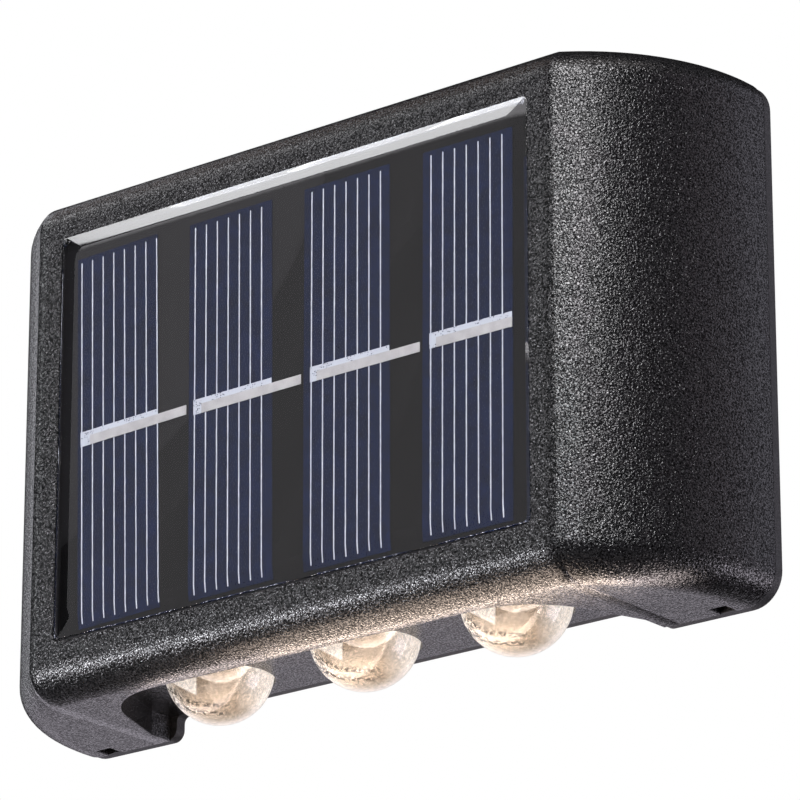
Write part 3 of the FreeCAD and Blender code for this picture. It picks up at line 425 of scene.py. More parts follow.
def glowing(name, colour, light, strength):
    """Phosphor that shines by itself."""
    values = {"Emission Strength": strength, "Roughness": 0.5}
    material, wires, shader = new_material(name, values)
    found = effect(wires, "Moulded", 0.4 * MM)
    wires.feed(shader.inputs["Base Color"], shaded(wires, colour, found["Shade"]))
    wires.feed(shader.inputs["Emission Color"], shaded(wires, light, found["Shade"]))
    return material


def wear(thing, material):
    """Give a piece its material in place of those that it came with."""
    thing.data.materials.clear()
    thing.data.materials.append(material)


# Mesh tools


def piece(name, points, faces, material, slot, smooth=True):
    """A new piece of the light from points in millimetres, with its finish."""
    mesh = bpy.data.meshes.new(name)
    mesh.from_pydata([Vector(point) * MM for point in points], [], faces)
    mesh.validate()
    thing = bpy.data.objects.new(name, mesh)
    bpy.context.scene.collection.objects.link(thing)
    mesh.polygons.foreach_set("use_smooth", [smooth] * len(mesh.polygons))
    wear(thing, material)
    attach(thing, LIGHT)
    return thing


def ring_faces(start, count):
    """Faces that join a closed ring of points to the ring after it."""
    return [(start + i, start + (i + 1) % count, start + count + (i + 1) % count,
             start + count + i) for i in range(count)]


def loft(rings, cap_start=True):
    """Points and faces of a skin over closed rings with equal counts, closed at its ends."""
    count = len(rings[0])
    points = [point for ring in rings for point in ring]
    faces = []
    for i in range(len(rings) - 1):
        faces += ring_faces(i * count, count)
    if cap_start:
        faces.append(tuple(reversed(range(count))))
    faces.append(tuple(range(len(points) - count, len(points))))
    return points, faces


def join(parts):
    """Several lots of points and faces as one lot."""
    points, faces = [], []
    for more_points, more_faces in parts:
        shift = len(points)
        points += more_points
        faces += [tuple(i + shift for i in face) for face in more_faces]
    return points, faces


def settings(context, group):
    """One group of the add-on's settings."""
    return getattr(context.scene, f"fence_light_{group}")


# Settings


def colour_setting(name, description, value):
    """A colour that a user can change."""
    return FloatVectorProperty(name=name, description=description, default=value,
                               subtype="COLOR", size=3, min=0.0, max=1.0)


def length_setting(name, description, value):
    """A length that a user can change, given in millimetres and kept in metres."""
    return FloatProperty(name=name, description=description, default=value * MM,
                         unit="LENGTH", subtype="DISTANCE", min=0.0)


class FenceLightColours(bpy.types.PropertyGroup):
    """Colours of the visible finishes"""

    shell: colour_setting("Shell", "Grained plastic of the housing", (0.013, 0.013, 0.014))
    cover: colour_setting("Cover", "Plastic of the back cover", (0.025, 0.025, 0.027))
    panel: colour_setting("Panel", "Black board under the solar strips", (0.018, 0.017, 0.018))
    cell: colour_setting("Cell", "Blue of the silicon", (0.0025, 0.006, 0.024))
    silver: colour_setting("Silver", "Printed fingers and busbars", (0.36, 0.38, 0.43))
    resin: colour_setting("Resin", "Tint of the resin", (0.96, 0.97, 0.98))
    # The warm lens tint also stands in for the diodes' light in the lenses: partly painted glow.
    lens: colour_setting("Lens", "Tint of the lenses", (0.87, 0.78, 0.67))
    glow: colour_setting("Glow", "Warm light of the diodes", (1.0, 0.8, 0.64))


class FenceLightSizes(bpy.types.PropertyGroup):
    """Sizes of the fine detail"""

    grain: length_setting("Grain", "Width of one pebble of the grain", 0.28)
    grain_depth: length_setting("Grain Depth", "Depth of the grain", 0.036)
    crease: length_setting("Crease", "How widely the creases and edges are eased", 0.25)
    roll: length_setting("Roll", "How wide the roll is in front of a crease", 2.0)
    roll_fall: length_setting("Roll Fall", "How far the roll falls", 0.5)
    finger: length_setting("Finger Width", "Width of a printed finger", 0.2)
    busbar: length_setting("Busbar Height", "Height of a printed busbar", 2.05)
    lip: length_setting("Resin Lip", "How far the resin laps over the shell at its top", 0.65)
    border: length_setting("Resin Border", "Width of the resin's sloped border", 2.0)
    slope: FloatProperty(name="Resin Slope", description="Fall of the resin's border by its width",
                         default=0.235)


class FenceLightStage(bpy.types.PropertyGroup):
    """Lamps and camera"""

    focal: FloatProperty(name="Focal Length", description="Lens of the camera in millimetres",
                         default=232.1, min=20.0)
    lamps: FloatProperty(name="Lamp Level", description="Factor on every lamp", default=1.0,
                         min=0.0)
    around: FloatProperty(name="Surroundings", description="Level of the light all round",
                          default=0.01, min=0.0)


# Housing


class MakeShell(bpy.types.Operator):
    """Give the housing its black grained plastic"""

    bl_idname = "fence_light.shell"
    bl_label = "Shell"

    def execute(self, context):
        colours, sizes = settings(context, "colours"), settings(context, "sizes")
        grained = surface("shell_plastic", colours.shell, 0.1, "Spark Grain", sizes.grain,
                          sizes.grain_depth / MM, sizes.crease / MM,
                          (CREASE_OUT - sizes.roll, sizes.roll, sizes.roll_fall / MM),
                          polished=True, Specular_IOR_Level=0.1, Coat_IOR=1.6,
                          Coat_Roughness=0.1)
        wear(NODES["front_housing"], grained)
        return {"FINISHED"}


class MakeCover(bpy.types.Operator):
    """Give the back cover its finer grain"""

    bl_idname = "fence_light.cover"
    bl_label = "Back Cover"

    def execute(self, context):
        colours, sizes = settings(context, "colours"), settings(context, "sizes")
        fine = surface("cover_plastic", colours.cover, 0.42, "Spark Grain", sizes.grain * 0.6,
                       0.03, 0.1)
        wear(NODES["back_cover"], fine)
        return {"FINISHED"}


class MakeSeals(bpy.types.Operator):
    """Give the gasket, the lens seals and the panel's adhesive their rubber"""

    bl_idname = "fence_light.seals"
    bl_label = "Seals"

    def execute(self, context):
        rubber = surface("silicone", (0.3, 0.3, 0.31), 0.6, size=0.8 * MM, depth=0.02)
        for name in ("cover_gasket", "lower_lens_seals", "upper_lens_seals"):
            wear(NODES[name], rubber)
        glue = surface("adhesive", (0.02, 0.02, 0.021), 0.7, size=0.5 * MM, depth=0.04)
        wear(NODES["panel_glue"], glue)
        return {"FINISHED"}


class MakeButton(bpy.types.Operator):
    """Give the power button and its plunger their finish"""

    bl_idname = "fence_light.button"
    bl_label = "Power Button"

    def execute(self, context):
        soft = surface("button_plastic", (0.035, 0.035, 0.038), 0.5, "Spark Grain", 0.18 * MM,
                       0.02, 0.1)
        wear(NODES["power_button"], soft)
        wear(NODES["switch_plunger"], surface("plunger", (0.6, 0.6, 0.58), 0.4))
        return {"FINISHED"}


# Screws


def head_ring(radius, height, arm, turn):
    """One ring of a screw head with a cross recess, of eight points to each arm."""
    ring = []
    for quarter in range(4):
        middle = turn + quarter * math.pi / 2
        half = math.asin(min(0.99, arm / radius))
        gap = math.pi / 2 - 2 * half
        steps = [-half * 1.04, -half * 0.94, 0.0, half * 0.94, half * 1.04]
        steps += [half + gap * part for part in (0.25, 0.5, 0.75)]
        for i, step in enumerate(steps):
            angle = middle + step
            low = 1 <= i <= 3
            ring.append((radius * math.cos(angle), radius * math.sin(angle), height(radius, low)))
    return ring


def screw_mesh(centre, head_radius, head_height, shank_radius, length, axis, turn):
    """A screw with a domed cross head at one end and a rolled thread at the other."""
    arm, reach, depth = head_radius * 0.13, head_radius * 0.62, head_height * 0.55

    def top(radius, low):
        dome = head_height * (1 - 0.45 * (radius / head_radius) ** 4)
        return dome - depth if low and radius < reach else dome

    radii = (0.24, 0.4, 0.55, 0.615, 0.625, 0.75, 0.88, 0.96, 1.0)
    rings = [head_ring(head_radius * part, top, arm, turn) for part in radii]
    count = len(rings[0])
    rings.insert(0, [(x * 0.5, y * 0.5, head_height - depth) for x, y, z in rings[0]])

    def round_ring(radius, height, swell=0.0, phase=0.0):
        points = []
        for i in range(count):
            angle = math.atan2(rings[-1][i][1], rings[-1][i][0])
            grown = radius + swell * (0.5 + 0.5 * math.cos(angle - phase))
            points.append((grown * math.cos(angle), grown * math.sin(angle), height))
        return points

    shape = rings + [round_ring(head_radius, 0.0), round_ring(shank_radius * 0.8, 0.0)]
    turns = int(length / (shank_radius * 0.9))
    steps = 6
    for i in range(turns * steps):
        part = i / (turns * steps)
        thin = 1.0 if part < 0.85 else 1.0 - (part - 0.85) * 4
        shape.append(round_ring(shank_radius * 0.76 * thin, -length * part,
                                shank_radius * 0.24 * thin, i / steps * math.tau))
    shape.append(round_ring(shank_radius * 0.2, -length))
    points, faces = loft(shape)
    centre = Vector(centre)
    spin = Vector((0, 0, 1)).rotation_difference(Vector(axis)).to_matrix()
    return [tuple(spin @ Vector(point) + centre) for point in points], faces


def solid_boxes(node, count):
    """Low and high corners of the like solids in one node, in millimetres, sorted by place."""
    mesh = NODES[node].data
    parents = list(range(len(mesh.vertices)))

    def root(i):
        while parents[i] != i:
            parents[i] = parents[parents[i]]
            i = parents[i]
        return i

    seen = {}
    for i, vertex in enumerate(mesh.vertices):
        key = tuple(round(value * 1e5) for value in vertex.co)
        parents[root(i)] = root(seen.setdefault(key, i))
    for edge in mesh.edges:
        parents[root(edge.vertices[0])] = root(edge.vertices[1])
    groups = {}
    for i, vertex in enumerate(mesh.vertices):
        groups.setdefault(root(i), []).append(vertex.co / MM)
    if len(groups) != count:
        raise RuntimeError(f"{node} has {len(groups)} solids, not {count}")
    boxes = []
    for points in groups.values():
        low = Vector(min(point[axis] for point in points) for axis in range(3))
        high = Vector(max(point[axis] for point in points) for axis in range(3))
        boxes.append((low, high))
    return sorted(boxes, key=lambda box: tuple(box[0]))


class MakeScrews(bpy.types.Operator):
    """Cut crosses and threads on every screw"""

    bl_idname = "fence_light.screws"
    bl_label = "Screws"

    def execute(self, context):
        steel = surface("screw_steel", (0.55, 0.55, 0.56), 0.32, "Drawn Metal", 0.6 * MM, 0.01,
                        Metallic=1.0)
        rows = (("cover_screws", 4, (0, 1, 0), 1.8, 0.47), ("board_screws", 4, (0, 1, 0), 1.2, 0.5),
                ("lower_led_board_screws", 2, (0, 0, -1), 1.2, 0.5),
                ("upper_led_board_screws", 2, (0, 0, 1), 1.2, 0.5))
        for node, count, axis, head_height, shank in rows:
            made = []
            for i, (low, high) in enumerate(solid_boxes(node, count)):
                way = Vector(axis)
                middle, half = (low + high) / 2, (high - low) / 2
                radius = min(half[k] for k in range(3) if not way[k])
                along = sum(half[k] * abs(way[k]) for k in range(3))
                seat = middle + way * (along - head_height)
                made.append(screw_mesh(seat, radius, head_height, radius * shank,
                                       2 * along - head_height, axis, 0.4 + 1.1 * i))
            points, faces = join(made)
            screws = piece(node.replace("_screws", "_cross_screws"), points, faces, steel,
                           "screw_steel", smooth=False)
            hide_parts(node)
        return {"FINISHED"}


# Solar panel


# In millimetres: the width over which the resin's border levels out, how far its wall stands
# in under its edge and how far that edge overhangs, and the corners of the wall and the edge.
RESIN_EASE = 0.9
RESIN_WALL_INSET = 0.15
RESIN_OVERHANG = 0.02
WALL_CORNER = 0.7
EDGE_CORNER = 0.6


def panel_ring(low, high, inset, corner, depth, steps=5):
    """Closed outline of the panel in a plane of one depth."""
    ring = []
    rights, tops = high.x - inset - corner, high.z - inset - corner
    lefts, bottoms = low.x + inset + corner, low.z + inset + corner
    for x, z, start in ((rights, tops, 0), (lefts, tops, 90), (lefts, bottoms, 180),
                        (rights, bottoms, 270)):
        for i in range(steps + 1):
            angle = math.radians(start + 90 * i / steps)
            ring.append((x + corner * math.cos(angle), depth, z + corner * math.sin(angle)))
    return ring


def resin_border(front, slope, wide):
    """Insets and depths from the resin's edge to where its face is level."""
    border = [(inset, front + slope * (wide - inset + RESIN_EASE / 2))
              for inset in (0.0, 0.05, *(wide * i / 4 for i in range(1, 5)))]
    steps = 8
    for i in range(1, steps + 1):
        border.append((wide + RESIN_EASE * i / steps,
                       front + slope * RESIN_EASE / 2 * (1 - i / steps) ** 2))
    return border


class MakeResin(bpy.types.Operator):
    """Pour the clear resin, with its domed border"""

    bl_idname = "fence_light.resin"
    bl_label = "Resin"

    def execute(self, context):
        colours, sizes = settings(context, "colours"), settings(context, "sizes")
        low, high = (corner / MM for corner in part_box("panel_resin"))
        lip = high + Vector((0.5, 0.0, 1.0)) * (sizes.lip / MM)
        border = resin_border(low.y, sizes.slope, sizes.border / MM)
        rings = [panel_ring(low, high, RESIN_WALL_INSET, WALL_CORNER, depth)
                 for depth in (high.y, border[0][1] + RESIN_OVERHANG)]
        rings += [panel_ring(low, lip, inset, EDGE_CORNER + inset / 2, depth)
                  for inset, depth in border]
        resin, wires, shader = clear("clear_resin", colours.resin, 0.02, 6.0, 0.006,
                                     Coat_IOR=2.4, Coat_Roughness=0.06)
        # A strong coat only along the top edge makes the lamps' reflection there brighter: a
        # painted highlight.
        tree = shared("Top Edge Highlight", {"Start": RESIN_TOP_STRIP, "Size": 0.6 * MM},
                      {"Mask": "Float"}, top_edge_highlight)
        wires.feed(shader.inputs["Coat Weight"], wires.group(tree)["Mask"])
        dome = piece("panel_resin_dome", *loft(rings), resin, "clear_resin")
        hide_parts("panel_resin")
        return {"FINISHED"}


# How each strip lies turned in the resin, in degrees, then how many fingers it has, and where
# the first one is from the strip's middle.
STRIPS = {1: (1.5, 8, -6.29), 2: (0.6, 7, -6.02), 3: (0.1, 7, -5.75), 4: (-0.3, 7, -5.7)}

# Sizes of the print in millimetres, from a strip's middle.
FINGER_PITCH = 1.88
FINGER_HALF = 25.2
FINGER_TIP = 0.15
STRIP_HALF = 6.95
BUSBAR_RISE = 0.18
PRINT_THICK = 0.02


class MakeCells(bpy.types.Operator):
    """Finish the board and the four strips of silicon"""

    bl_idname = "fence_light.cells"
    bl_label = "Solar Cells"

    def execute(self, context):
        colours = settings(context, "colours")
        black = surface("panel_black", colours.panel, 0.6, size=5 * MM, depth=0.01,
                        Specular_IOR_Level=0.05)
        wear(NODES["panel_board"], black)
        silicon = surface("silicon_blue", colours.cell, 0.4, "Silicon Crystals", depth=0.004,
                          Specular_IOR_Level=0.0)
        for number in STRIPS:
            wear(NODES[f"solar_cell_{number}"], silicon)
        tinned = surface("tinned_copper", (0.34, 0.33, 0.33), 0.5, "Drawn Metal", 1.2 * MM, 0.02,
                         Metallic=0.1, Specular_IOR_Level=0.1)
        wear(NODES["cell_ribbons"], tinned)
        return {"FINISHED"}


def finger_mesh(x, width, seed):
    """One printed finger, a little uneven along its length and round at its ends."""
    tips = [FINGER_HALF - FINGER_TIP * i / 3 for i in range(3)]
    heights = [-z for z in tips]
    heights += [(FINGER_HALF - FINGER_TIP) * (i / 28 - 1) for i in range(57)]
    heights += reversed(tips)
    rings = []
    for z in heights:
        wave = noise.noise(Vector((seed * 3.1, z * 1.6, 0.5)))
        half = width / 2 * (1 + 0.18 * wave)
        end = FINGER_HALF - abs(z)
        if end < half:
            half = max(0.3, math.sqrt(max(0.0, end / half))) * half
        middle = x + 0.02 * noise.noise(Vector((seed * 1.7, z * 0.5, 9.0)))
        rings.append([(middle - half, 0.0, z), (middle - half * 0.7, -PRINT_THICK, z),
                      (middle + half * 0.7, -PRINT_THICK, z), (middle + half, 0.0, z)])
    return loft(rings)


def busbar_mesh(start, end, height):
    """A printed busbar with slightly ragged long edges."""
    steps = 80
    rings = []
    for i in range(steps + 1):
        x = start + (end - start) * i / steps
        up = height / 2 + 0.03 * noise.noise(Vector((x * 2.3, 4.0, 1.0)))
        down = height / 2 + 0.03 * noise.noise(Vector((x * 2.3, 8.0, 1.0)))
        top, bottom = BUSBAR_RISE + up, BUSBAR_RISE - down
        lift = -PRINT_THICK * 1.3
        rings.append([(x, 0.0, bottom), (x, lift, bottom), (x, lift, top), (x, 0.0, top)])
    return loft(rings)


def laid_on(strip, turn, lot):
    """Points and faces given from a strip's middle, put on its face and turned with it."""
    low, high = (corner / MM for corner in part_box(strip))
    middle, angle = (low + high) / 2, math.radians(turn)
    points, faces = lot
    placed = [(middle.x + x * math.cos(angle) - z * math.sin(angle), low.y + y,
               middle.z + x * math.sin(angle) + z * math.cos(angle)) for x, y, z in points]
    return placed, faces


class MakePrint(bpy.types.Operator):
    """Print the silver fingers and busbars on the strips"""

    bl_idname = "fence_light.print"
    bl_label = "Silver Print"

    def execute(self, context):
        colours, sizes = settings(context, "colours"), settings(context, "sizes")
        plain = surface("silver_fingers", colours.silver, 0.5, size=0.4 * MM, depth=0.01)
        dotted = silver_print("silver_busbar", colours.silver, colours.cell)
        for number, (turn, count, first) in STRIPS.items():
            strip, width = f"solar_cell_{number}", sizes.finger / MM
            rows = [finger_mesh(first + FINGER_PITCH * i, width, number * 10 + i)
                    for i in range(count)]
            piece(f"cell_fingers_{number}", *laid_on(strip, turn, join(rows)), plain,
                  "tinned_copper", smooth=False)
            bar = busbar_mesh(first - width, STRIP_HALF, sizes.busbar / MM)
            piece(f"cell_busbar_{number}", *laid_on(strip, turn, bar), dotted, "tinned_copper",
                  smooth=False)
        return {"FINISHED"}


# Lights


class MakeLenses(bpy.types.Operator):
    """Make the six lenses clear, with a painted glow in them"""

    bl_idname = "fence_light.lenses"
    bl_label = "Lenses"

    def execute(self, context):
        colours = settings(context, "colours")
        lens, wires, shader = clear("clear_lens", colours.lens, 0.03, 1.2, 0.03, haze=0.2,
                                    Emission_Strength=1.0)
        inputs = {"Pitch": LENS_PITCH, "Back": LENS_BACK, "Middle": LENS_MIDDLE,
                  "Radius": LENS_RADIUS}
        outputs = {"Height": "Float", "Shade": "Float", "Pale": "Float"}
        found = wires.group(shared("Lens Painted Glow", inputs, outputs, lens_painted_glow))
        # Painted glow: the lenses shine by themselves, palest at their edges and where the group
        # paints them.
        facing = wires.add("ShaderNodeLayerWeight", {"Blend": 0.5}).outputs["Facing"]
        pale = wires.maths("MAXIMUM", wires.ramp(facing, 0.35, 0.95),
                           wires.maths("MULTIPLY", found["Pale"], 0.9))
        glow = wires.blend(pale, (0.03, 0.022, 0.015, 1.0), (0.66, 0.62, 0.59, 1.0))
        wires.feed(shader.inputs["Base Color"], shaded(wires, colours.lens, found["Shade"]))
        wires.feed(shader.inputs["Emission Color"], shaded(wires, glow, found["Shade"]))
        wires.feed(shader.inputs["Normal"], bump(wires, found["Height"], 0.02))
        for side in SIDES:
            for place in PLACES:
                wear(NODES[f"{side}_lens_{place}"], lens)
        return {"FINISHED"}


def diode_mesh(low, high, outward):
    """Body of a diode with a round cup in its face, and the phosphor that fills the cup."""
    middle, half = (low + high) / 2, (high - low) / 2
    face = high.z if outward > 0 else low.z
    root = low.z if outward > 0 else high.z
    cup = min(half.x, half.y) * 0.8
    count = 32

    def square(scale, height):
        ring = []
        for i in range(count):
            angle = math.tau * (i + 0.5) / count
            reach = scale / max(abs(math.cos(angle)), abs(math.sin(angle)))
            ring.append((middle.x + half.x * reach * math.cos(angle),
                         middle.y + half.y * reach * math.sin(angle), height))
        return ring

    def circle(radius, height):
        return [(middle.x + radius * math.cos(math.tau * (i + 0.5) / count),
                 middle.y + radius * math.sin(math.tau * (i + 0.5) / count), height)
                for i in range(count)]

    inner = face - outward * 0.15
    body = loft([square(1.0, root), square(1.0, face - outward * 0.08),
                 square(0.95, face), circle(cup, face), circle(cup * 0.9, inner)])
    drop = loft([circle(cup * 0.9, inner), circle(cup * 0.7, inner + outward * 0.06),
                 circle(cup * 0.3, inner + outward * 0.1)], cap_start=False)
    return body, drop


class MakeDiodes(bpy.types.Operator):
    """Build the six diodes and finish their boards"""

    bl_idname = "fence_light.diodes"
    bl_label = "Diodes"

    def execute(self, context):
        colours = settings(context, "colours")
        white = circuit("light_board_white", (0.72, 0.72, 0.7), (0.6, 0.58, 0.53))
        casing = surface("diode_casing", (0.8, 0.8, 0.78), 0.4)
        phosphor = glowing("diode_phosphor", (0.85, 0.6, 0.2), colours.glow, 3.8)
        for side, outward in SIDES.items():
            wear(NODES[f"{side}_led_board"], white)
            parts = [diode_mesh(low, high, outward)
                     for low, high in solid_boxes(f"{side}_leds", 3)]
            bodies = piece(f"{side}_diode_casings", *join([body for body, _ in parts]), casing,
                           "diode_yellow", smooth=False)
            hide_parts(f"{side}_leds")
            drops = [drop for _, drop in parts]
            piece(f"{side}_diode_phosphor", *join(drops), phosphor, "diode_yellow")
        return {"FINISHED"}


# Inside


class MakeControls(bpy.types.Operator):
    """Finish the control board and what stands on it"""

    bl_idname = "fence_light.controls"
    bl_label = "Controls"

    def execute(self, context):
        wear(NODES["control_board"], circuit("control_green", (0.01, 0.09, 0.03),
                                             (0.03, 0.2, 0.06)))
        wear(NODES["driver_chip"], surface("chip_black", (0.02, 0.02, 0.02), 0.45,
                                           size=0.3 * MM, depth=0.02))
        wear(NODES["storage_coil"], surface("coil_dark", (0.06, 0.05, 0.05), 0.5, "Spark Grain",
                                            0.2 * MM, 0.05))
        wear(NODES["lead_plugs"], surface("plug_white", (0.7, 0.69, 0.65), 0.4))
        wear(NODES["power_switch"], surface("switch_black", (0.03, 0.03, 0.03), 0.4))
        return {"FINISHED"}


class MakeBattery(bpy.types.Operator):
    """Finish the storage cell, its holder and its contacts"""

    bl_idname = "fence_light.battery"
    bl_label = "Battery"

    def execute(self, context):
        wear(NODES["battery_holder"], surface("holder_black", (0.03, 0.03, 0.03), 0.45,
                                              "Spark Grain", 0.2 * MM, 0.02))
        wear(NODES["battery_cell"], surface("battery_wrap", (0.05, 0.25, 0.12), 0.3,
                                            size=4 * MM))
        nickel = surface("contact_nickel", (0.66, 0.62, 0.55), 0.3, "Drawn Metal", Metallic=1.0)
        for end in ("left", "right"):
            wear(NODES[f"battery_contact_{end}"], nickel)
        return {"FINISHED"}


class MakeLeads(bpy.types.Operator):
    """Colour the insulation of the four pairs of leads"""

    bl_idname = "fence_light.leads"
    bl_label = "Leads"

    def execute(self, context):
        for shade, colour in (("red", (0.5, 0.02, 0.015)), ("black", (0.015, 0.015, 0.016))):
            sleeve = surface(f"lead_{shade}", colour, 0.42, size=0.7 * MM, depth=0.02)
            for run in ("panel_lead", "lower_led_lead", "upper_led_lead", "battery_lead"):
                wear(NODES[f"{run}_{shade}"], sleeve)
        return {"FINISHED"}


# Stage


# Height and half width of the floor and place and aim of the camera, in metres, and the watts
# that a lamp gives from each square metre at level 1.
FLOOR = -0.33
FLOOR_HALF = 3.0
LAMP_POWER = 4
CAMERA_AT = (0.3969, -0.4995, -0.2261)
CAMERA_LOOKS = (-0.5875, 0.7343, 0.3401)

# Name, bearing, height above the level, width and height, all in degrees as the light sees
# them, then distance in metres, level and colour. Bearing 0 is in front and 90 to the right.
LAMPS = (
    ("front_left", -28, 15, 40, 44, 1.0, 0.55, (0.98, 0.96, 1.0)),
    ("over_left", -45, 42.5, 70, 10, 0.9, 2.0, (0.98, 0.98, 1.0)),
    ("above", -45, 62, 70, 20, 0.9, 0.2, (1.0, 0.69, 0.54)),
    ("over_right", 50, 66, 40, 14, 0.9, 1.4, (1.0, 0.92, 0.9)),
    ("front_right", 33, 36, 10, 34, 0.9, 10.8, (1.0, 0.98, 1.0)),
    ("front_right_far", 43, 36, 10, 34, 0.9, 7.0, (1.0, 0.98, 1.0)),
    ("front_right_low", 31, 15, 12, 9, 0.9, 6.0, (0.9, 0.95, 1.0)),
    ("edge_left", -76, 20, 6, 40, 0.9, 2.4, (0.95, 0.97, 1.0)),
    ("left", -108, 20, 20, 60, 0.9, 0.58, (0.93, 0.93, 1.0)),
    ("low_front", -45, -10, 40, 10, 0.6, 15.2, (0.95, 0.94, 1.0)),
    ("right", 105, 20, 30, 50, 1.0, 0.24, (1.0, 0.8, 0.9)),
    ("back_right", 140, 20, 34, 50, 1.0, 0.6, (0.88, 0.86, 1.0)),
    ("low_right", 125, -25, 30, 30, 0.6, 3.5, (0.95, 0.88, 1.0)),
    ("low_back", -141, -20, 76, 40, 0.6, 0.48, (0.94, 0.88, 1.0)),
)

# The strips that stand for the glow of the lit lenses on the rim beside them: name, middle,
# width and height in metres, level, colour and the way that it faces.
TO_RIM, UP = (0, -1, 0.45), (0, 0.1, 1)
GLOWS = (
    ("glow_left", (-0.026, -0.014, -0.0425), 0.020, 0.006, 3.9, (1.0, 0.84, 0.79), TO_RIM),
    ("glow_middle", (0.014, -0.014, -0.0425), 0.060, 0.006, 7.4, (1.0, 0.80, 0.66), TO_RIM),
    ("glow_right", (0.050, -0.013, -0.0430), 0.018, 0.007, 6.0, (1.0, 0.86, 0.84), TO_RIM),
    ("glow_below", (0.010, -0.0235, -0.050), 0.066, 0.019, 3.4, (1.0, 0.80, 0.66), UP),
)


def from_bearing(bearing, height, distance):
    """A place at a bearing and height round the light."""
    turn, rise = math.radians(bearing), math.radians(height)
    return Vector((math.sin(turn) * math.cos(rise), -math.cos(turn) * math.cos(rise),
                   math.sin(rise))) * distance


def area_lamp(name, place, width, height, level, colour, facing=None):
    """A soft lamp that faces the object, or along a way, with an even level over its face."""
    lamp = bpy.data.lights.new(name, "AREA")
    lamp.shape = "RECTANGLE"
    lamp.size, lamp.size_y = width, height
    lamp.energy = level * width * height * LAMP_POWER
    lamp.color = colour
    thing = bpy.data.objects.new(name, lamp)
    thing.location = place
    way = Vector(facing or [-value for value in place])
    thing.rotation_euler = way.to_track_quat("-Z", "Y").to_euler()
    thing.visible_camera = False
    bpy.context.scene.collection.objects.link(thing)


def surroundings(level):
    """Even light all round, and white where the camera looks past the object."""
    world = bpy.data.worlds.new("surroundings")
    bpy.context.scene.world = world
    world.use_nodes = True
    world.node_tree.nodes.clear()
    wires = Wires(world.node_tree)
    path = wires.add("ShaderNodeLightPath").outputs
    seen = wires.maths("MAXIMUM", path["Is Camera Ray"], path["Is Transmission Ray"])
    even = wires.add("ShaderNodeBackground", {"Color": (1, 1, 1, 1), "Strength": level})
    white = wires.add("ShaderNodeBackground", {"Color": (1, 1, 1, 1), "Strength": 1.0})
    mixed = wires.add("ShaderNodeMixShader", {0: seen, 1: even.outputs[0], 2: white.outputs[0]})
    output = wires.add("ShaderNodeOutputWorld")
    wires.feed(output.inputs["Surface"], mixed.outputs[0])


def floor_paint():
    """Pale paint that the camera sees as pale all over, and that throws little light back up."""
    values = {"Roughness": 0.9, "Emission Color": (0.8, 0.8, 0.8, 1.0), "Emission Strength": 1.0}
    material, wires, shader = new_material("floor_paint", values)
    found = effect(wires, "Moulded", 0.4)
    wires.feed(shader.inputs["Base Color"], shaded(wires, (0.86, 0.86, 0.86), found["Shade"]))
    seen = wires.add("ShaderNodeLightPath").outputs["Is Camera Ray"]
    dim = wires.add("ShaderNodeBsdfDiffuse", {"Color": (0.12, 0.12, 0.12, 1.0)})
    show_mixed(wires, seen, dim, shader)
    return material


def floor():
    """A pale floor far below, which the camera looks up from."""
    mesh = bpy.data.meshes.new("floor")
    corners = [(x * FLOOR_HALF, y * FLOOR_HALF, FLOOR)
               for x, y in ((-1, -1), (1, -1), (1, 1), (-1, 1))]
    mesh.from_pydata(corners, [], [(0, 1, 2, 3)])
    thing = bpy.data.objects.new("floor", mesh)
    bpy.context.scene.collection.objects.link(thing)
    wear(thing, floor_paint())


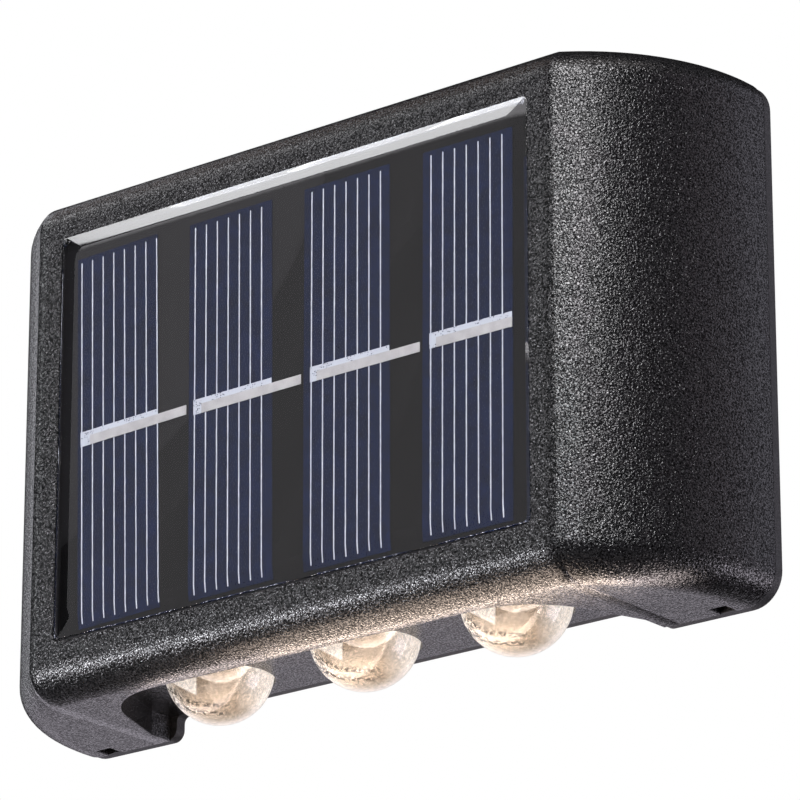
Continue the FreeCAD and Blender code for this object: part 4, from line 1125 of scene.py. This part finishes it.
class MakeStage(bpy.types.Operator):
    """Set the floor, the lamps, the surroundings and the camera"""

    bl_idname = "fence_light.stage"
    bl_label = "Stage"

    def execute(self, context):
        stage = settings(context, "stage")
        for name, bearing, rise, width, height, distance, level, colour in LAMPS:
            across, tall = (2 * distance * math.tan(math.radians(angle / 2))
                            for angle in (width, height))
            area_lamp(name, from_bearing(bearing, rise, distance), across, tall,
                      level * stage.lamps, colour)
        for name, place, width, height, level, colour, way in GLOWS:
            area_lamp(name, place, width, height, level * stage.lamps, colour, way)
        surroundings(stage.around)
        floor()
        camera = bpy.data.cameras.new("camera")
        camera.lens = stage.focal
        camera.sensor_width = 36.0
        camera.clip_start, camera.clip_end = 0.05, 20.0
        thing = bpy.data.objects.new("camera", camera)
        thing.location = CAMERA_AT
        thing.rotation_euler = Vector(CAMERA_LOOKS).to_track_quat("-Z", "Y").to_euler()
        context.scene.collection.objects.link(thing)
        context.scene.camera = thing
        context.scene.view_settings.view_transform = "Standard"
        return {"FINISHED"}


# Add-on


OPERATORS = (MakeShell, MakeCover, MakeSeals, MakeButton, MakeScrews, MakeCells, MakePrint,
             MakeResin, MakeLenses, MakeDiodes, MakeControls, MakeBattery, MakeLeads, MakeStage)
GROUPS = {"colours": FenceLightColours, "sizes": FenceLightSizes, "stage": FenceLightStage}


class FENCELIGHT_PT_pieces(bpy.types.Panel):
    """Lists the steps and settings of the fence light"""

    bl_label = "Fence Light"
    bl_space_type = "VIEW_3D"
    bl_region_type = "UI"
    bl_category = "Fence Light"

    def draw(self, context):
        column = self.layout.column(align=True)
        for operator in OPERATORS:
            column.operator(operator.bl_idname)
        for name in GROUPS:
            box = self.layout.box()
            group = settings(context, name)
            for setting in group.bl_rna.properties.keys():
                if setting not in ("rna_type", "name"):
                    box.prop(group, setting)


CLASSES = (*GROUPS.values(), *OPERATORS, FENCELIGHT_PT_pieces)


def register():
    """Make the add-on's classes and settings known."""
    for item in CLASSES:
        bpy.utils.register_class(item)
    for name, group in GROUPS.items():
        setattr(bpy.types.Scene, f"fence_light_{name}", PointerProperty(type=group))


def unregister():
    """Take the add-on's settings and classes away again."""
    for name in GROUPS:
        delattr(bpy.types.Scene, f"fence_light_{name}")
    for item in reversed(CLASSES):
        bpy.utils.unregister_class(item)


def main():
    """Make every piece in turn."""
    register()
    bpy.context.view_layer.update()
    for operator in OPERATORS:
        family, name = operator.bl_idname.split(".")
        getattr(getattr(bpy.ops, family), name)()


if __name__ == "__main__":
    main()
